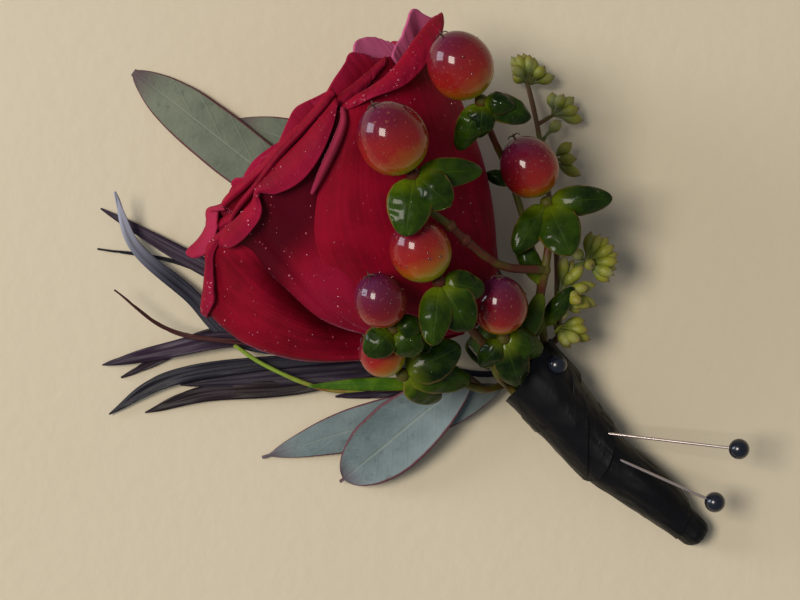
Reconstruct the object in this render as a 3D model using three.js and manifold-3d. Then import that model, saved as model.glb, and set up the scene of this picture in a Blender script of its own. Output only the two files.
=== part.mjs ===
// A boutonniere lying on its side: one crimson rose, three hypericum sprigs with berries, seeded eucalyptus,
// gum leaves, dark willow foliage and a green shoot, bound by a black ribbon with three pearl-headed pins.
// Millimetres, +Z up, with the table at z = 0. Places are measured from a point of the table beside the rose,
// with +X to the right and +Y away, and the whole group is moved to the middle of its own box at the end.
import * as THREE from 'three';
import { mergeVertices } from 'three/addons/utils/BufferGeometryUtils.js';
import Module from 'manifold-3d';

const wasm = await Module();
wasm.setup();

// Rose: its base, the heading and rise of its axis in degrees, how far lying down flattens it, and its stem
const ROSE_BASE = new THREE.Vector3(15.1, -3.9, 14.5);
const ROSE_HEADING = 129.9;
const ROSE_RISE = 9;
const ROSE_FLATTEN_TOP = 0.85;
const ROSE_FLATTEN_BOTTOM = 0.66;
const PETAL_THICKNESS = 0.7;
const ROSE_STEM_RADIUS = 2.3;
const ROSE_STEM_DEPTH = 30;

// Bundle of stems inside the ribbon: points along its middle, from before its mouth to its folded tip.
// The ribbon's radius is the middle's height plus FLAT_DEPTH, and what dips below the table is cut off flat
const BUNDLE_POINTS = [
  [24.1, -12.4, 7.6],
  [28.1, -16.9, 7.4],
  [33.9, -23.6, 6.5],
  [40.4, -30.6, 5.6],
  [46.2, -35.2, 5.1],
  [50.6, -38.6, 4.6],
  [54.5, -42.2, 3.6],
  [58.9, -46.6, 2.5],
];
const MOUTH_AT = 6;
const FLAT_DEPTH = 0.3;

// Ribbon: its wall, its turns, the slant of a turn, how far a turn stands out over the next, and its mouth,
// cut square to a way that rises from the bundle's own and turns aside
const RIBBON_WALL = 1.3;
const RIBBON_TURNS = 5;
const RIBBON_SLANT = 3;
const RIBBON_LAP = 0.45;
const MOUTH_EDGE = -1.2;
const MOUTH_RISE = 0.34;
const MOUTH_SKEW = -0.2;

// Cut stem ends stand in a ring round the rose's stem: turns in degrees from the top of the bundle
const HELD_DEPTH = 7;
const HELD_RADIUS = 5.2;
const HELD_INNER_RADIUS = 4.4;

// Leaves and berries
const LEAF_THICKNESS = 0.6;
const BERRY_STRETCH = 1.1;
const BERRY_RINGS = 6;
const CALYX_RADIUS = 1.3;
const CALYX_GAP = 0.4;
const BUD_RADIUS = 1.3;

// Pins: a shaft starts inside its bead, in a bore that is wider and longer by the clearance
const PIN_LENGTH = 35;
const PIN_POINT = 3;
const SHAFT_RADIUS = 0.32;
const SHAFT_START = 1.1;
const BEAD_RADIUS = 2;
const CLEARANCE = 0.35;

const radians = THREE.MathUtils.degToRad;
const degrees = THREE.MathUtils.radToDeg;
const clamp = THREE.MathUtils.clamp;
const vec = (x, y, z) => new THREE.Vector3(x, y, z);
const UP = vec(0, 0, 1);

// Solids

// Turns a closed geometry into a solid
function solid(geometry) {
  const bare = geometry.clone();
  bare.deleteAttribute('normal');
  bare.deleteAttribute('uv');
  const merged = mergeVertices(bare, 1e-4);
  const mesh = new wasm.Mesh({
    numProp: 3,
    vertProperties: Float32Array.from(merged.attributes.position.array),
    triVerts: Uint32Array.from(merged.index.array),
  });
  return new wasm.Manifold(mesh);
}

// Turns a solid back into a geometry
function geometryOf(body) {
  const mesh = body.getMesh();
  const geometry = new THREE.BufferGeometry();
  geometry.setAttribute('position', new THREE.BufferAttribute(Float32Array.from(mesh.vertProperties), 3));
  geometry.setIndex(Array.from(mesh.triVerts));
  geometry.computeVertexNormals();
  return geometry;
}

// The largest body of a solid. A hollow sealed in it is a body of negative volume, so it ends up filled
function largest(body) {
  return body.decompose().sort((a, b) => b.volume() - a.volume())[0];
}

function fuse(geometries) {
  return largest(wasm.Manifold.union(geometries.map(solid)));
}

// A thin closed sheet over surface(u, v), with u from -1 to 1 across it and v from 0 to 1 along it.
// Both faces are split into triangles alike, so they never cross where the sheet is waved
function blade(surface, across, along, thickness) {
  const grid = new THREE.PlaneGeometry(2, 1, across, along);
  const flat = grid.attributes.position;
  const count = flat.count;
  const step = 1e-3;
  const points = [];
  for (const side of [0.5, -0.5]) {
    for (let i = 0; i < count; i += 1) {
      const u = flat.getX(i);
      const v = flat.getY(i) + 0.5;
      const acrossWay = surface(u + step, v).sub(surface(u - step, v));
      const alongWay = surface(u, v + step).sub(surface(u, v - step));
      const out = acrossWay.cross(alongWay).normalize();
      points.push(...surface(u, v).addScaledVector(out, side * thickness));
    }
  }
  const front = Array.from(grid.index.array);
  const faces = [...front];
  for (let i = 0; i < front.length; i += 3) {
    faces.push(front[i] + count, front[i + 2] + count, front[i + 1] + count);
  }
  const row = across + 1;
  const border = [
    ...Array.from({ length: across }, (_, i) => i),
    ...Array.from({ length: along }, (_, i) => i * row + across),
    ...Array.from({ length: across }, (_, i) => along * row + across - i),
    ...Array.from({ length: along }, (_, i) => (along - i) * row),
  ];
  border.forEach((here, i) => {
    const next = border[(i + 1) % border.length];
    faces.push(here, next, here + count);
    faces.push(next, next + count, here + count);
  });
  const sheet = new THREE.BufferGeometry();
  sheet.setAttribute('position', new THREE.Float32BufferAttribute(points, 3));
  sheet.setIndex(faces);
  return sheet;
}

// A smooth curve through points
function through(points) {
  return new THREE.CatmullRomCurve3(points, false, 'centripetal');
}

// A closed round tube along a curve, with its radius given along its length
function taperedTube(curve, radiusAt, sides, steps) {
  const tube = new THREE.CylinderGeometry(1, 1, 1, sides, steps);
  const frames = curve.computeFrenetFrames(steps, false);
  const place = tube.attributes.position;
  for (let i = 0; i < place.count; i += 1) {
    const t = place.getY(i) + 0.5;
    const frame = Math.round(t * steps);
    const radius = radiusAt(t);
    const point = curve.getPointAt(t);
    point.addScaledVector(frames.normals[frame], place.getX(i) * radius);
    point.addScaledVector(frames.binormals[frame], -place.getZ(i) * radius);
    place.setXYZ(i, point.x, point.y, point.z);
  }
  return tube;
}

// A stem: a round tube through points, thinning evenly from one radius to another
function stem(points, from, to, steps = 8, sides = 5) {
  return taperedTube(through(points), (t) => THREE.MathUtils.lerp(from, to, t), sides, steps);
}

// A turned shape of [radius, height] points, standing at a place along a way
function turned(profile, sides, from, way) {
  const outline = profile.map(([radius, height]) => new THREE.Vector2(radius, height));
  const lathe = new THREE.LatheGeometry(outline, sides);
  lathe.applyQuaternion(new THREE.Quaternion().setFromUnitVectors(vec(0, 1, 0), way.clone().normalize()));
  lathe.translate(from.x, from.y, from.z);
  return lathe;
}

// A ball at a place
function ball(radius, sides, rings, place) {
  const sphere = new THREE.SphereGeometry(radius, sides, rings);
  sphere.translate(place.x, place.y, place.z);
  return sphere;
}

// A leaf along points. half is its half width, wide tells where it is widest, camber lifts its middle, tip is
// its least half width and facing is the way its upper side looks
function leaf(points, half, shape = {}) {
  const { wide = 0.85, camber = 0.6, facing = UP, tip = 0.25, across = 2, along = 6 } = shape;
  const spine = through(points);
  const surface = (u, v) => {
    const t = clamp(v, 0, 1);
    const point = spine.getPoint(t);
    const way = spine.getTangent(t);
    const side = way.clone().cross(facing).normalize();
    const above = side.clone().cross(way).normalize();
    const width = Math.max(half * Math.sin(Math.PI * t ** wide) ** 0.7, tip);
    return point
      .addScaledVector(way, v - t)
      .addScaledVector(side, u * width)
      .addScaledVector(above, camber * (1 - u * u) * Math.min(width / half, 1));
  };
  return blade(surface, across, along, LEAF_THICKNESS);
}

// The bundle's own measures

const bundleCurve = new THREE.CatmullRomCurve3(BUNDLE_POINTS.map((point) => vec(...point)));
const bundleLength = bundleCurve.getLength();

// The ribbon's radius at a distance along the bundle's middle
function bundleRadius(distance) {
  return bundleCurve.getPointAt(clamp(distance / bundleLength, 0, 1)).z + FLAT_DEPTH;
}

// A point beside the bundle's middle: a distance inward from the ribbon's mouth, a turn in degrees from the
// top, + toward the upper right, and a radius
function bundlePoint(distance, turn, radius) {
  const at = clamp((distance + MOUTH_AT) / bundleLength, 0, 1);
  const way = bundleCurve.getTangentAt(at);
  const right = UP.clone().cross(way).normalize();
  const above = way.clone().cross(right).normalize();
  return bundleCurve.getPointAt(at)
    .addScaledVector(right, radius * Math.sin(radians(turn)))
    .addScaledVector(above, radius * Math.cos(radians(turn)));
}

// The held end of a stem, from its cut inside the ribbon out to just before the mouth
function heldEnd(turn, depth = HELD_DEPTH) {
  return [
    bundlePoint(depth, turn, HELD_INNER_RADIUS),
    bundlePoint(depth / 2, turn, (HELD_INNER_RADIUS + HELD_RADIUS) / 2),
    bundlePoint(0, turn, HELD_RADIUS),
    bundlePoint(-4.5, turn, HELD_RADIUS + 0.1),
  ];
}

// Looks of the materials

const petalRed = { color: 0x8c0a24, roughness: 0.6, metalness: 0 };
const stemGreen = { color: 0x2f4a1c, roughness: 0.5, metalness: 0 };
const berryRed = { color: 0x8f1420, roughness: 0.2, metalness: 0 };
const leafGreen = { color: 0x2c5a1a, roughness: 0.35, metalness: 0 };
const seedGreen = { color: 0x8a9438, roughness: 0.6, metalness: 0 };
const gumGrey = { color: 0x6b8078, roughness: 0.6, metalness: 0 };
const willowDark = { color: 0x241f2b, roughness: 0.4, metalness: 0 };
const shootGreen = { color: 0x5f8a1c, roughness: 0.4, metalness: 0 };
const satinBlack = { color: 0x0c0c10, roughness: 0.45, metalness: 0 };
const pinSteel = { color: 0xb09a94, roughness: 0.3, metalness: 1 };
const pearlBlack = { color: 0x0b0d16, roughness: 0.15, metalness: 0 };

const group = new THREE.Group();

function add(name, body, look) {
  const mesh = new THREE.Mesh(geometryOf(body), new THREE.MeshStandardMaterial(look));
  mesh.name = name;
  group.add(mesh);
}

// Rose

// Its own axes: along it toward its open mouth, across it level with the table, and above it
const roseAlong = vec(
  Math.cos(radians(ROSE_HEADING)) * Math.cos(radians(ROSE_RISE)),
  Math.sin(radians(ROSE_HEADING)) * Math.cos(radians(ROSE_RISE)),
  Math.sin(radians(ROSE_RISE)),
);
const roseAcross = roseAlong.clone().cross(UP).normalize();
const roseAbove = roseAcross.clone().cross(roseAlong);

// A point of the rose: a height along its axis, a radius and a turn in degrees, 0 on top and + to the right
function rosePoint(height, radius, turn) {
  const middle = (ROSE_FLATTEN_TOP + ROSE_FLATTEN_BOTTOM) / 2;
  const flatten = middle + (ROSE_FLATTEN_TOP - middle) * Math.cos(radians(turn));
  return ROSE_BASE.clone()
    .addScaledVector(roseAlong, height)
    .addScaledVector(roseAbove, radius * Math.cos(radians(turn)) * flatten)
    .addScaledVector(roseAcross, radius * Math.sin(radians(turn)));
}

// One petal: a strip of a cup whose profile is a Bezier curve of [height, radius] points, belly, shoulder and
// rim. turn and half are degrees round the axis, and swing turns the rim from the base. claw is the base's
// share of the width. At the rim the petal rolls outward by roll degrees with radius curl, and lies back as a
// flap, but hardly at its point, which is at u = tip. drop lowers the rim away from the point, and tuck
// spirals one edge outward
function petalSurface(petal) {
  const { turn, half, belly, shoulder, rim, swing = 0, claw = 0.6, flare = 0.6 } = petal;
  const { tip = 0, drop = 0.05, fall = 2.6, roll = 120, curl = 1.2, flap = 0, lobe = 0.8 } = petal;
  const { bulge = 0, lean = 0, tuck = 1.2, wave = 0.3 } = petal;
  const profile = new THREE.CubicBezierCurve(
    new THREE.Vector2(0, 3),
    new THREE.Vector2(...belly),
    new THREE.Vector2(...shoulder),
    new THREE.Vector2(...rim),
  );
  const length = profile.getLength();
  return (u, v) => {
    const off = Math.min(Math.abs(u - tip) / (1 + Math.abs(tip)), 1);
    const end = 1 - drop * off ** fall;
    const rolled = radians(roll) * (0.4 + 0.6 * Math.min(off * 2.5, 1));
    const flapLength = flap * Math.max(Math.sin(Math.PI * off ** lobe), 0) ** 0.8;
    const run = v * (end * length + curl * rolled + flapLength);
    const point = profile.getPoint(clamp(run / length, 0, end));
    point.x += Math.min(run, 0);
    const past = run - end * length;
    if (past > 0) {
      const way = profile.getTangent(end);
      const out = new THREE.Vector2(-way.y, way.x);
      const bent = Math.min(past / curl, rolled);
      const straight = past - bent * curl;
      point.addScaledVector(way, curl * Math.sin(bent) + straight * Math.cos(bent));
      point.addScaledVector(out, curl * (1 - Math.cos(bent)) + straight * Math.sin(bent));
    }
    const along = Math.max(v, 0);
    const spread = claw + (1 - claw) * along ** flare;
    const radius = point.y * (1 + lean * u - bulge * u * u)
      + tuck * u * along
      + wave * Math.sin(3.1 * u + turn) * along ** 2;
    return rosePoint(point.x, radius, turn + swing * along + half * u * spread);
  };
}

// Outermost petals that show whole, in finer steps
const showPetals = [
  // Upper middle, on top of its neighbours: a narrow wedge that opens into a rolled rim with a middle point
  {
    turn: -37, swing: 13, half: 35, claw: 0.22, flare: 3,
    belly: [4, 15], shoulder: [26, 30], rim: [49, 28.5],
    roll: 150, curl: 1.4, flap: 5, tip: -0.1, drop: 0.06, fall: 2, tuck: 0,
  },
  // Lower left, bulging furthest out
  {
    turn: -72, half: 38, claw: 0.7, belly: [5, 18], shoulder: [18, 42], rim: [48, 32],
    roll: 60, curl: 1.5, tip: 0.9, drop: 0.2, fall: 1.5, bulge: 0.2, lean: -0.2, tuck: 0,
  },
  // Upper right, with the longest rolled rim
  {
    turn: 36, half: 62, belly: [5, 13], shoulder: [26, 23], rim: [51.5, 27],
    roll: 155, curl: 1.5, flap: 6, lobe: 1, tip: -0.45, drop: 0.03, bulge: 0.02, lean: -0.1, tuck: 0,
  },
];

// The second layer, which shows past the first
const secondPetals = [
  { turn: -74, half: 32, belly: [6, 17], shoulder: [28, 29], rim: [47.5, 29.5], roll: 150, flap: 4, tuck: 1 },
  { turn: -20, half: 44, belly: [5, 14], shoulder: [28, 24], rim: [50.5, 25], flap: 2 },
  { turn: 52, half: 50, belly: [5, 13], shoulder: [28, 20], rim: [53.5, 23.5], flap: 2 },
];

// Evenly turned petals with rims a little uneven
function petalRing(count, first, values) {
  return Array.from({ length: count }, (_, i) => ({
    ...values,
    turn: first + (360 / count) * i + 6 * Math.sin(2.4 * i + first),
    rim: [values.rim[0] + 1.2 * Math.sin(5.1 * i + first), values.rim[1]],
  }));
}

// The underside and the inner rings
const otherPetals = [
  { turn: 142, half: 48, belly: [5, 15], shoulder: [26, 21], rim: [50, 22.5], roll: 60, curl: 2.5, tuck: 1 },
  { turn: -150, half: 50, belly: [5, 17], shoulder: [24, 27], rim: [49, 25], roll: 60, curl: 2.5, tuck: 1 },
  { turn: 120, half: 46, belly: [5, 13], shoulder: [28, 19], rim: [54.5, 22], roll: 60, curl: 1.6 },
  { turn: 200, half: 50, belly: [5, 13], shoulder: [28, 20], rim: [52, 22], roll: 60, curl: 1.6 },
  ...petalRing(5, -8, { half: 50, belly: [8, 11], shoulder: [30, 18], rim: [52, 18], roll: 80, curl: 1.4 }),
  ...petalRing(4, 30, { half: 60, belly: [10, 9], shoulder: [32, 16], rim: [50, 14], roll: 40, curl: 1.6 }),
  ...petalRing(3, 60, { half: 75, belly: [12, 7], shoulder: [34, 11], rim: [49, 7.5], roll: 10, curl: 2 }),
];

// The closed heart of the bloom, which the petals stand round
function roseHeart() {
  const outline = [[0, -1], [4, -1], [8, 8], [11, 22], [9.5, 34], [5, 42], [0, 44]];
  const heart = new THREE.LatheGeometry(outline.map((point) => new THREE.Vector2(...point)), 12);
  const place = heart.attributes.position;
  for (let i = 0; i < place.count; i += 1) {
    const x = place.getX(i);
    const z = place.getZ(i);
    const point = rosePoint(place.getY(i), Math.hypot(x, z), degrees(Math.atan2(x, z)));
    place.setXYZ(i, point.x, point.y, point.z);
  }
  return heart;
}

add('rose_petals', fuse([
  roseHeart(),
  ...showPetals.map((petal) => blade(petalSurface(petal), 7, 7, PETAL_THICKNESS)),
  ...secondPetals.map((petal) => blade(petalSurface(petal), 4, 5, PETAL_THICKNESS)),
  ...otherPetals.map((petal) => blade(petalSurface(petal), 3, 4, PETAL_THICKNESS)),
]), petalRed);

// Hip, five sepals bent back along it, and the cut stem down the middle of the bundle
function roseStem() {
  const hipOutline = [[0, -9], [2.2, -9], [2.6, -6.5], [4.2, -3.6], [4.3, -2.2], [3.6, -1.4], [0, -1.4]];
  const sepalOutline = [[-2, 3.6], [-3, 5.2], [-6, 5.4], [-9, 4.6]];
  const sepals = [36, 108, 180, -108, -36].map((turn) => {
    const points = sepalOutline.map(([height, radius]) => rosePoint(height, radius, turn));
    return leaf(points, 1.4, { facing: rosePoint(0, 1, turn).sub(ROSE_BASE), camber: 0.3, along: 4 });
  });
  const route = [
    rosePoint(-8, 0, 0),
    bundlePoint(-3, 0, 0.5),
    ...[2, 12, 22, ROSE_STEM_DEPTH].map((distance) => bundlePoint(distance, 0, 0)),
  ];
  return fuse([
    turned(hipOutline, 12, ROSE_BASE, roseAlong),
    ...sepals,
    stem(route, ROSE_STEM_RADIUS, ROSE_STEM_RADIUS - 0.5, 10, 8),
  ]);
}

add('rose_stem', roseStem(), stemGreen);

// Hypericum: each berry has its middle, its short radius and a point below its base, and stands on its calyx

const berries = {
  a: { middle: vec(10.8, 42.2, 42.5), radius: 5.9, below: vec(14.5, 36.6, 39) },
  b: { middle: vec(-1.4, 28.5, 51), radius: 6.2, below: vec(2.1, 22.7, 47) },
  c: { middle: vec(24.3, 25.1, 24), radius: 5.5, below: vec(27.1, 19.7, 22.5) },
  d: { middle: vec(3.6, 9, 41.5), radius: 5.5, below: vec(6.7, 4, 38) },
  e: { middle: vec(-3.6, 0, 39.5), radius: 4.8, below: vec(-1.5, -4.6, 36) },
  f: { middle: vec(18.7, -0.9, 27.5), radius: 5.2, below: vec(19.4, -6.6, 24) },
  g: { middle: vec(-3.4, -10, 29.7), radius: 4.2, below: vec(0, -13.5, 27) },
};

// An egg shape, a little fuller below its middle, with the remnant of the flower's stigma at its top
function berryBody({ middle, radius, way }) {
  const reach = radius * BERRY_STRETCH;
  const outline = Array.from({ length: BERRY_RINGS + 1 }, (_, i) => {
    const angle = (Math.PI * i) / BERRY_RINGS;
    const width = radius * Math.sin(angle) * (1 + 0.05 * Math.cos(angle));
    return [i % BERRY_RINGS === 0 ? 0 : width, -reach * Math.cos(angle)];
  });
  const stigma = [[0, 0], [0.35, 0], [0.2, 1.2], [0, 1.3]];
  return fuse([
    turned(outline, 10, middle, way),
    turned(stigma, 5, middle.clone().addScaledVector(way, reach - 0.3), way),
  ]);
}

for (const [letter, berry] of Object.entries(berries)) {
  berry.way = berry.middle.clone().sub(berry.below).normalize();
  const seat = berry.radius * BERRY_STRETCH + CALYX_RADIUS + CALYX_GAP;
  berry.calyx = berry.middle.clone().addScaledVector(berry.way, -seat);
  add(`hypericum_berry_${letter}`, berryBody(berry), berryRed);
}

// The green cup under a berry with its sepals, each given as its tip and half width
function calyx(berry, sepals) {
  const leaves = sepals.map(([tip, half]) => {
    const start = berry.calyx.clone().lerp(tip, 0.9 / berry.calyx.distanceTo(tip));
    const bend = berry.calyx.clone().lerp(tip, 0.5).addScaledVector(UP, 0.8);
    return leaf([start, bend, tip], half, { wide: 0.8, camber: 0.9, along: 4 });
  });
  return [ball(CALYX_RADIUS, 6, 4, berry.calyx), ...leaves];
}

// Upper right sprig with berries a, b and c
function upperSprig() {
  const fork = vec(27.5, 5.7, 22);
  const main = [...heldEnd(108), vec(27.8, -6.8, 12.5), vec(26.7, 0, 19), fork];
  const toB = [fork, vec(18.5, 6.5, 31), vec(11.9, 11, 36.5), vec(9.1, 13.4, 39.5), vec(4.5, 17, 44)];
  const toA = [vec(27, 2, 20), vec(25.6, 8, 24), vec(22.5, 17, 27.5), vec(18.4, 27.6, 33), vec(15.5, 33, 37)];
  const sepalsOfA = [
    [vec(14.6, 29.8, 37), 2.6],
    [vec(23.7, 33.2, 37), 2.6],
    [vec(10.7, 27.6, 36), 2.4],
    [vec(20.5, 35, 40), 2],
  ];
  return fuse([
    stem(main, 0.75, 0.85, 10),
    stem([...toB, berries.b.calyx], 0.85, 0.7, 8),
    stem([...toA, berries.a.calyx], 0.7, 0.6, 8),
    stem([fork, vec(28.3, 12.3, 22), berries.c.calyx], 0.85, 0.8, 5),
    ...calyx(berries.a, sepalsOfA),
    ...calyx(berries.b, [[vec(0.9, 11.4, 49), 4], [vec(8.9, 16.7, 48), 3.6], [vec(14.6, 23.2, 44), 2.6]]),
    ...calyx(berries.c, [[vec(21.6, 9, 25), 2.8], [vec(31.9, 8.4, 26), 4.2], [vec(40, 19.2, 23), 2.8]]),
  ]);
}

add('hypericum_sprig_upper', upperSprig(), leafGreen);

// Middle sprig with berries d and f
function middleSprig() {
  const fork = vec(17.2, -9.6, 21);
  return fuse([
    stem([...heldEnd(-76, 5), vec(18.8, -14.4, 16.5), fork], 0.7, 0.85, 8),
    stem([fork, vec(13.4, -5.6, 26), vec(10.2, -1.9, 30.5), berries.d.calyx], 0.85, 0.75, 7),
    stem([fork, vec(18.4, -8.6, 22), berries.f.calyx], 0.8, 0.7, 3),
    ...calyx(berries.d, [[vec(5.8, -8.2, 38.5), 3], [vec(12.7, -5.5, 36), 4], [vec(15.4, 1.8, 35), 2.8]]),
    ...calyx(berries.f, [[vec(27, -9.8, 19), 2.8], [vec(22.8, -16.2, 18), 3.4], [vec(15.3, -12.4, 21), 2.4]]),
  ]);
}

add('hypericum_sprig_middle', middleSprig(), leafGreen);

// Lower sprig with berries e and g
function lowerSprig() {
  const fork = vec(5.6, -13, 21.5);
  return fuse([
    stem([...heldEnd(-102), vec(16.6, -17.4, 11.5), vec(10.6, -15.4, 16), fork], 0.7, 0.8, 10),
    stem([fork, vec(2.6, -10.4, 28), berries.e.calyx], 0.75, 0.65, 6),
    stem([fork, vec(3.4, -13.6, 24), berries.g.calyx], 0.7, 0.65, 4),
    ...calyx(berries.e, [[vec(-6, -10, 35.5), 3], [vec(3.7, -9.5, 34), 3.2], [vec(3.8, -4.4, 35.8), 2.2]]),
    ...calyx(berries.g, [[vec(11.2, -8.8, 26), 4], [vec(13.3, -15.2, 20), 3], [vec(7.6, -18.8, 19), 3.2]]),
  ]);
}

add('hypericum_sprig_lower', lowerSprig(), leafGreen);

// Seeded eucalyptus: one twig with heads of club-shaped buds

function bud(from, to) {
  const way = to.clone().sub(from);
  const length = way.length();
  return turned([[0, 0], [BUD_RADIUS, length * 0.68], [1, length * 0.9], [0, length]], 5, from, way);
}

function eucalyptusSeeds() {
  const low = vec(31.3, -7, 6);
  const middle = vec(31, 0, 10);
  const heads = [
    {
      at: vec(36.9, 7.7, 14),
      tips: [
        [36.5, 11.8, 15], [39.8, 10.2, 14], [41.3, 7.9, 13], [40.6, 6, 14.5],
        [38.1, 3.8, 16], [40.4, 3.3, 12], [34.1, 5.9, 18], [34.4, 9.2, 17],
      ],
    },
    {
      at: vec(29.8, 1.7, 15.5),
      tips: [
        [31.3, 4, 18.5], [30.9, 0.6, 19], [34.3, 1.1, 18], [31.6, 4.6, 14.5],
        [32.6, -1.3, 17], [30.3, -1.7, 16.5],
      ],
    },
    {
      at: vec(32.6, -5.8, 11.5),
      tips: [[34.6, -3.4, 14], [36.2, -6, 12], [30.9, -3.8, 14], [32.3, -8.6, 14], [35, -8.6, 12]],
    },
    { at: vec(24.4, 46, 3.4), tips: [[22.2, 49, 4], [21.4, 45.6, 4.4], [26.4, 48.6, 0.45]] },
    { at: vec(26.4, 38.4, 4.2), tips: [[23.6, 41, 5], [27.4, 42, 3.4]] },
    { at: vec(31.1, 39.2, 4), tips: [[28.8, 42.4, 5], [31.4, 42.7, 4.4], [34, 40.6, 4], [34.4, 37.4, 3.6]] },
    { at: vec(28, 30, 5), tips: [[30.9, 33, 5.4], [31.6, 29.6, 4.4], [31.6, 26.6, 5]] },
  ];
  const stems = [
    stem([
      ...heldEnd(136), low, vec(31, -2, 6.8), vec(30.8, 9.8, 6.5),
      vec(28.6, 25.6, 5.4), vec(26.6, 37.2, 4.4), vec(24, 47.6, 3.2),
    ], 0.7, 0.5, 12),
    stem([low, middle, vec(32.2, 5.4, 13), heads[0].at], 0.6, 0.5, 6),
    stem([middle, heads[1].at], 0.5, 0.45, 3),
    stem([low, heads[2].at], 0.5, 0.45, 3),
    stem([vec(27, 34.6, 4.7), heads[5].at], 0.45, 0.4, 3),
  ];
  const buds = heads.flatMap((head) => head.tips.map((tip) => bud(head.at, vec(...tip))));
  return fuse([...stems, ...buds]);
}

add('eucalyptus_seeds', eucalyptusSeeds(), seedGreen);

// Gum leaves: a pair on the table behind the rose, and a pair in front of it

function gumLeavesBack() {
  const longSpine = [
    vec(13, -6, 1.9),
    vec(-6, 9.5, 1.6),
    vec(-30, 27.4, 1.4),
    vec(-44, 38.4, 0.8),
    vec(-53.3, 45.5, 0.35),
  ];
  const shortSpine = [vec(5, 22.2, 0.9), vec(-14, 29, 0.35), vec(-33, 35.8, 0.35)];
  return fuse([
    stem([...heldEnd(163), vec(20, -8.2, 1.7), vec(12, -5, 1.9)], 0.7, 0.55, 8),
    stem([vec(24.4, -10.6, 1.9), vec(21.5, 2, 1.5), vec(12, 15, 1.1), vec(4, 22.5, 0.9)], 0.55, 0.45, 7),
    leaf(longSpine, 5.6, { wide: 1.15, camber: 0.3, across: 4, along: 9, tip: 0.9 }),
    leaf(shortSpine, 5, { wide: 1.1, camber: 0.25, along: 8, tip: 0.5 }),
  ]);
}

add('gum_leaves_back', gumLeavesBack(), gumGrey);

function gumLeavesFront() {
  const broad = { wide: 1.1, across: 4, along: 8, tip: 0.5 };
  const spoonSpine = [vec(14, -15.4, 8), vec(5, -22, 7), vec(-4, -29.6, 4.8), vec(-11.9, -36.2, 2)];
  const lowSpine = [vec(20.6, -16.9, 5), vec(8, -21.6, 3.6), vec(-10, -26, 1.8), vec(-27.5, -31.5, 0.35)];
  return fuse([
    stem([...heldEnd(-128), vec(17.4, -17.6, 6.5), vec(13, -14.8, 8)], 0.7, 0.6, 8),
    leaf(spoonSpine, 7, { ...broad, camber: -0.8 }),
    leaf(lowSpine, 4.7, { ...broad, camber: 0.5 }),
  ]);
}

add('gum_leaves_front', gumLeavesFront(), gumGrey);

// Dark willow foliage: narrow blades from one twig under the rose, each given as its half width and points

function willowFoliage() {
  const narrow = { camber: 0, wide: 0.9, across: 1, along: 6 };
  const blades = [
    [1.9, [-2, -11.8, 2.3], [-20, -2.5, 2.4], [-39.8, 7, 2], [-59.7, 18.3, 0.8]],
    [1.5, [-3, -11.6, 2.4], [-32.8, -7.9, 2.6], [-41.7, 1, 2.8], [-52.6, 10.9, 4], [-56.1, 21.3, 7]],
    [0.45, [-22, -3, 2.2], [-44.8, 7.6, 1], [-60.4, 10.2, 0.8]],
    [0.6, [-6, -10.9, 2.4], [-19.8, -8.5, 4.6], [-33.6, -8.1, 6.6], [-45.4, -5.9, 6.4], [-56.2, 2, 7]],
    [1.7, [-5, -11, 2.4], [-33.8, -7.8, 3.2], [-47.6, -10.3, 2.5], [-59.3, -13, 1.4]],
    [1.5, [-24, -9, 2.7], [-36.6, -7, 1.6], [-55.7, -15.5, 0.7]],
    [1.7, [-4, -11.4, 2.4], [-29.8, -12.9, 2.5], [-47.6, -16.3, 2], [-58, -22.8, 1]],
    [1.7, [0, -12.6, 2.2], [-19.9, -17.2, 1.6], [-39.9, -18.9, 1.2], [-50.9, -22.5, 0.5]],
    [2, [4, -12.9, 2.3], [-14, -14.6, 2], [-43.8, -16.9, 1.2]],
    [1, [-24, -8.6, 2.7], [-31.8, -6, 2.2], [-39.2, -3.6, 2]],
    [1.3, [6, -13.2, 2], [0, -17.4, 1.2], [-12.9, -19.3, 0.8]],
  ];
  return fuse([
    stem([...heldEnd(-174), vec(17, -14.8, 1.8), vec(8, -13.4, 2.2), vec(-6, -11, 2.4)], 0.7, 0.6, 9),
    ...blades.map(([half, ...points]) => leaf(points.map((point) => vec(...point)), half, narrow)),
  ]);
}

add('willow_foliage', willowFoliage(), willowDark);

// Green shoot: a thin curved stem with one leafy stretch

function greenShoot() {
  const route = [
    ...heldEnd(-152), vec(18, -18, 2), vec(9, -17, 2.7), vec(-2, -17, 5),
    vec(-13.8, -17.8, 5), vec(-26.7, -12.9, 4.6), vec(-32.8, -8.9, 4.8),
  ];
  return fuse([
    stem(route, 0.6, 0.5, 14),
    leaf([vec(5, -17, 4.2), vec(-4, -16.6, 5.6), vec(-18, -17, 5.4)], 1.3, { camber: 0.3, wide: 0.9 }),
  ]);
}

add('green_shoot', greenShoot(), shootGreen);

// Pins: each has its bead's middle and a point that its shaft passes through

const pins = [
  { bead: vec(65.3, -28.7, 15.5), passes: vec(41.3, -26.1, 10.9) },
  { bead: vec(61.2, -39.3, 11.8), passes: vec(45.2, -32.2, 10.7) },
  { bead: vec(30.4, -12.6, 13), passes: bundlePoint(33, 52.7, 2.6) },
];

// A rod on a pin's line between two distances past its bead's middle, pointed over its last stretch
function rod(pin, radius, start, end, point) {
  const outline = [[0, start], [radius, start], [radius, end - point], [0, end]];
  return solid(turned(outline, 8, pin.bead, pin.passes.clone().sub(pin.bead)));
}

// The bore that a pin's shaft stands in
function bore(pin) {
  return rod(pin, SHAFT_RADIUS + CLEARANCE, SHAFT_START - CLEARANCE, PIN_LENGTH + CLEARANCE, 0);
}

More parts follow.
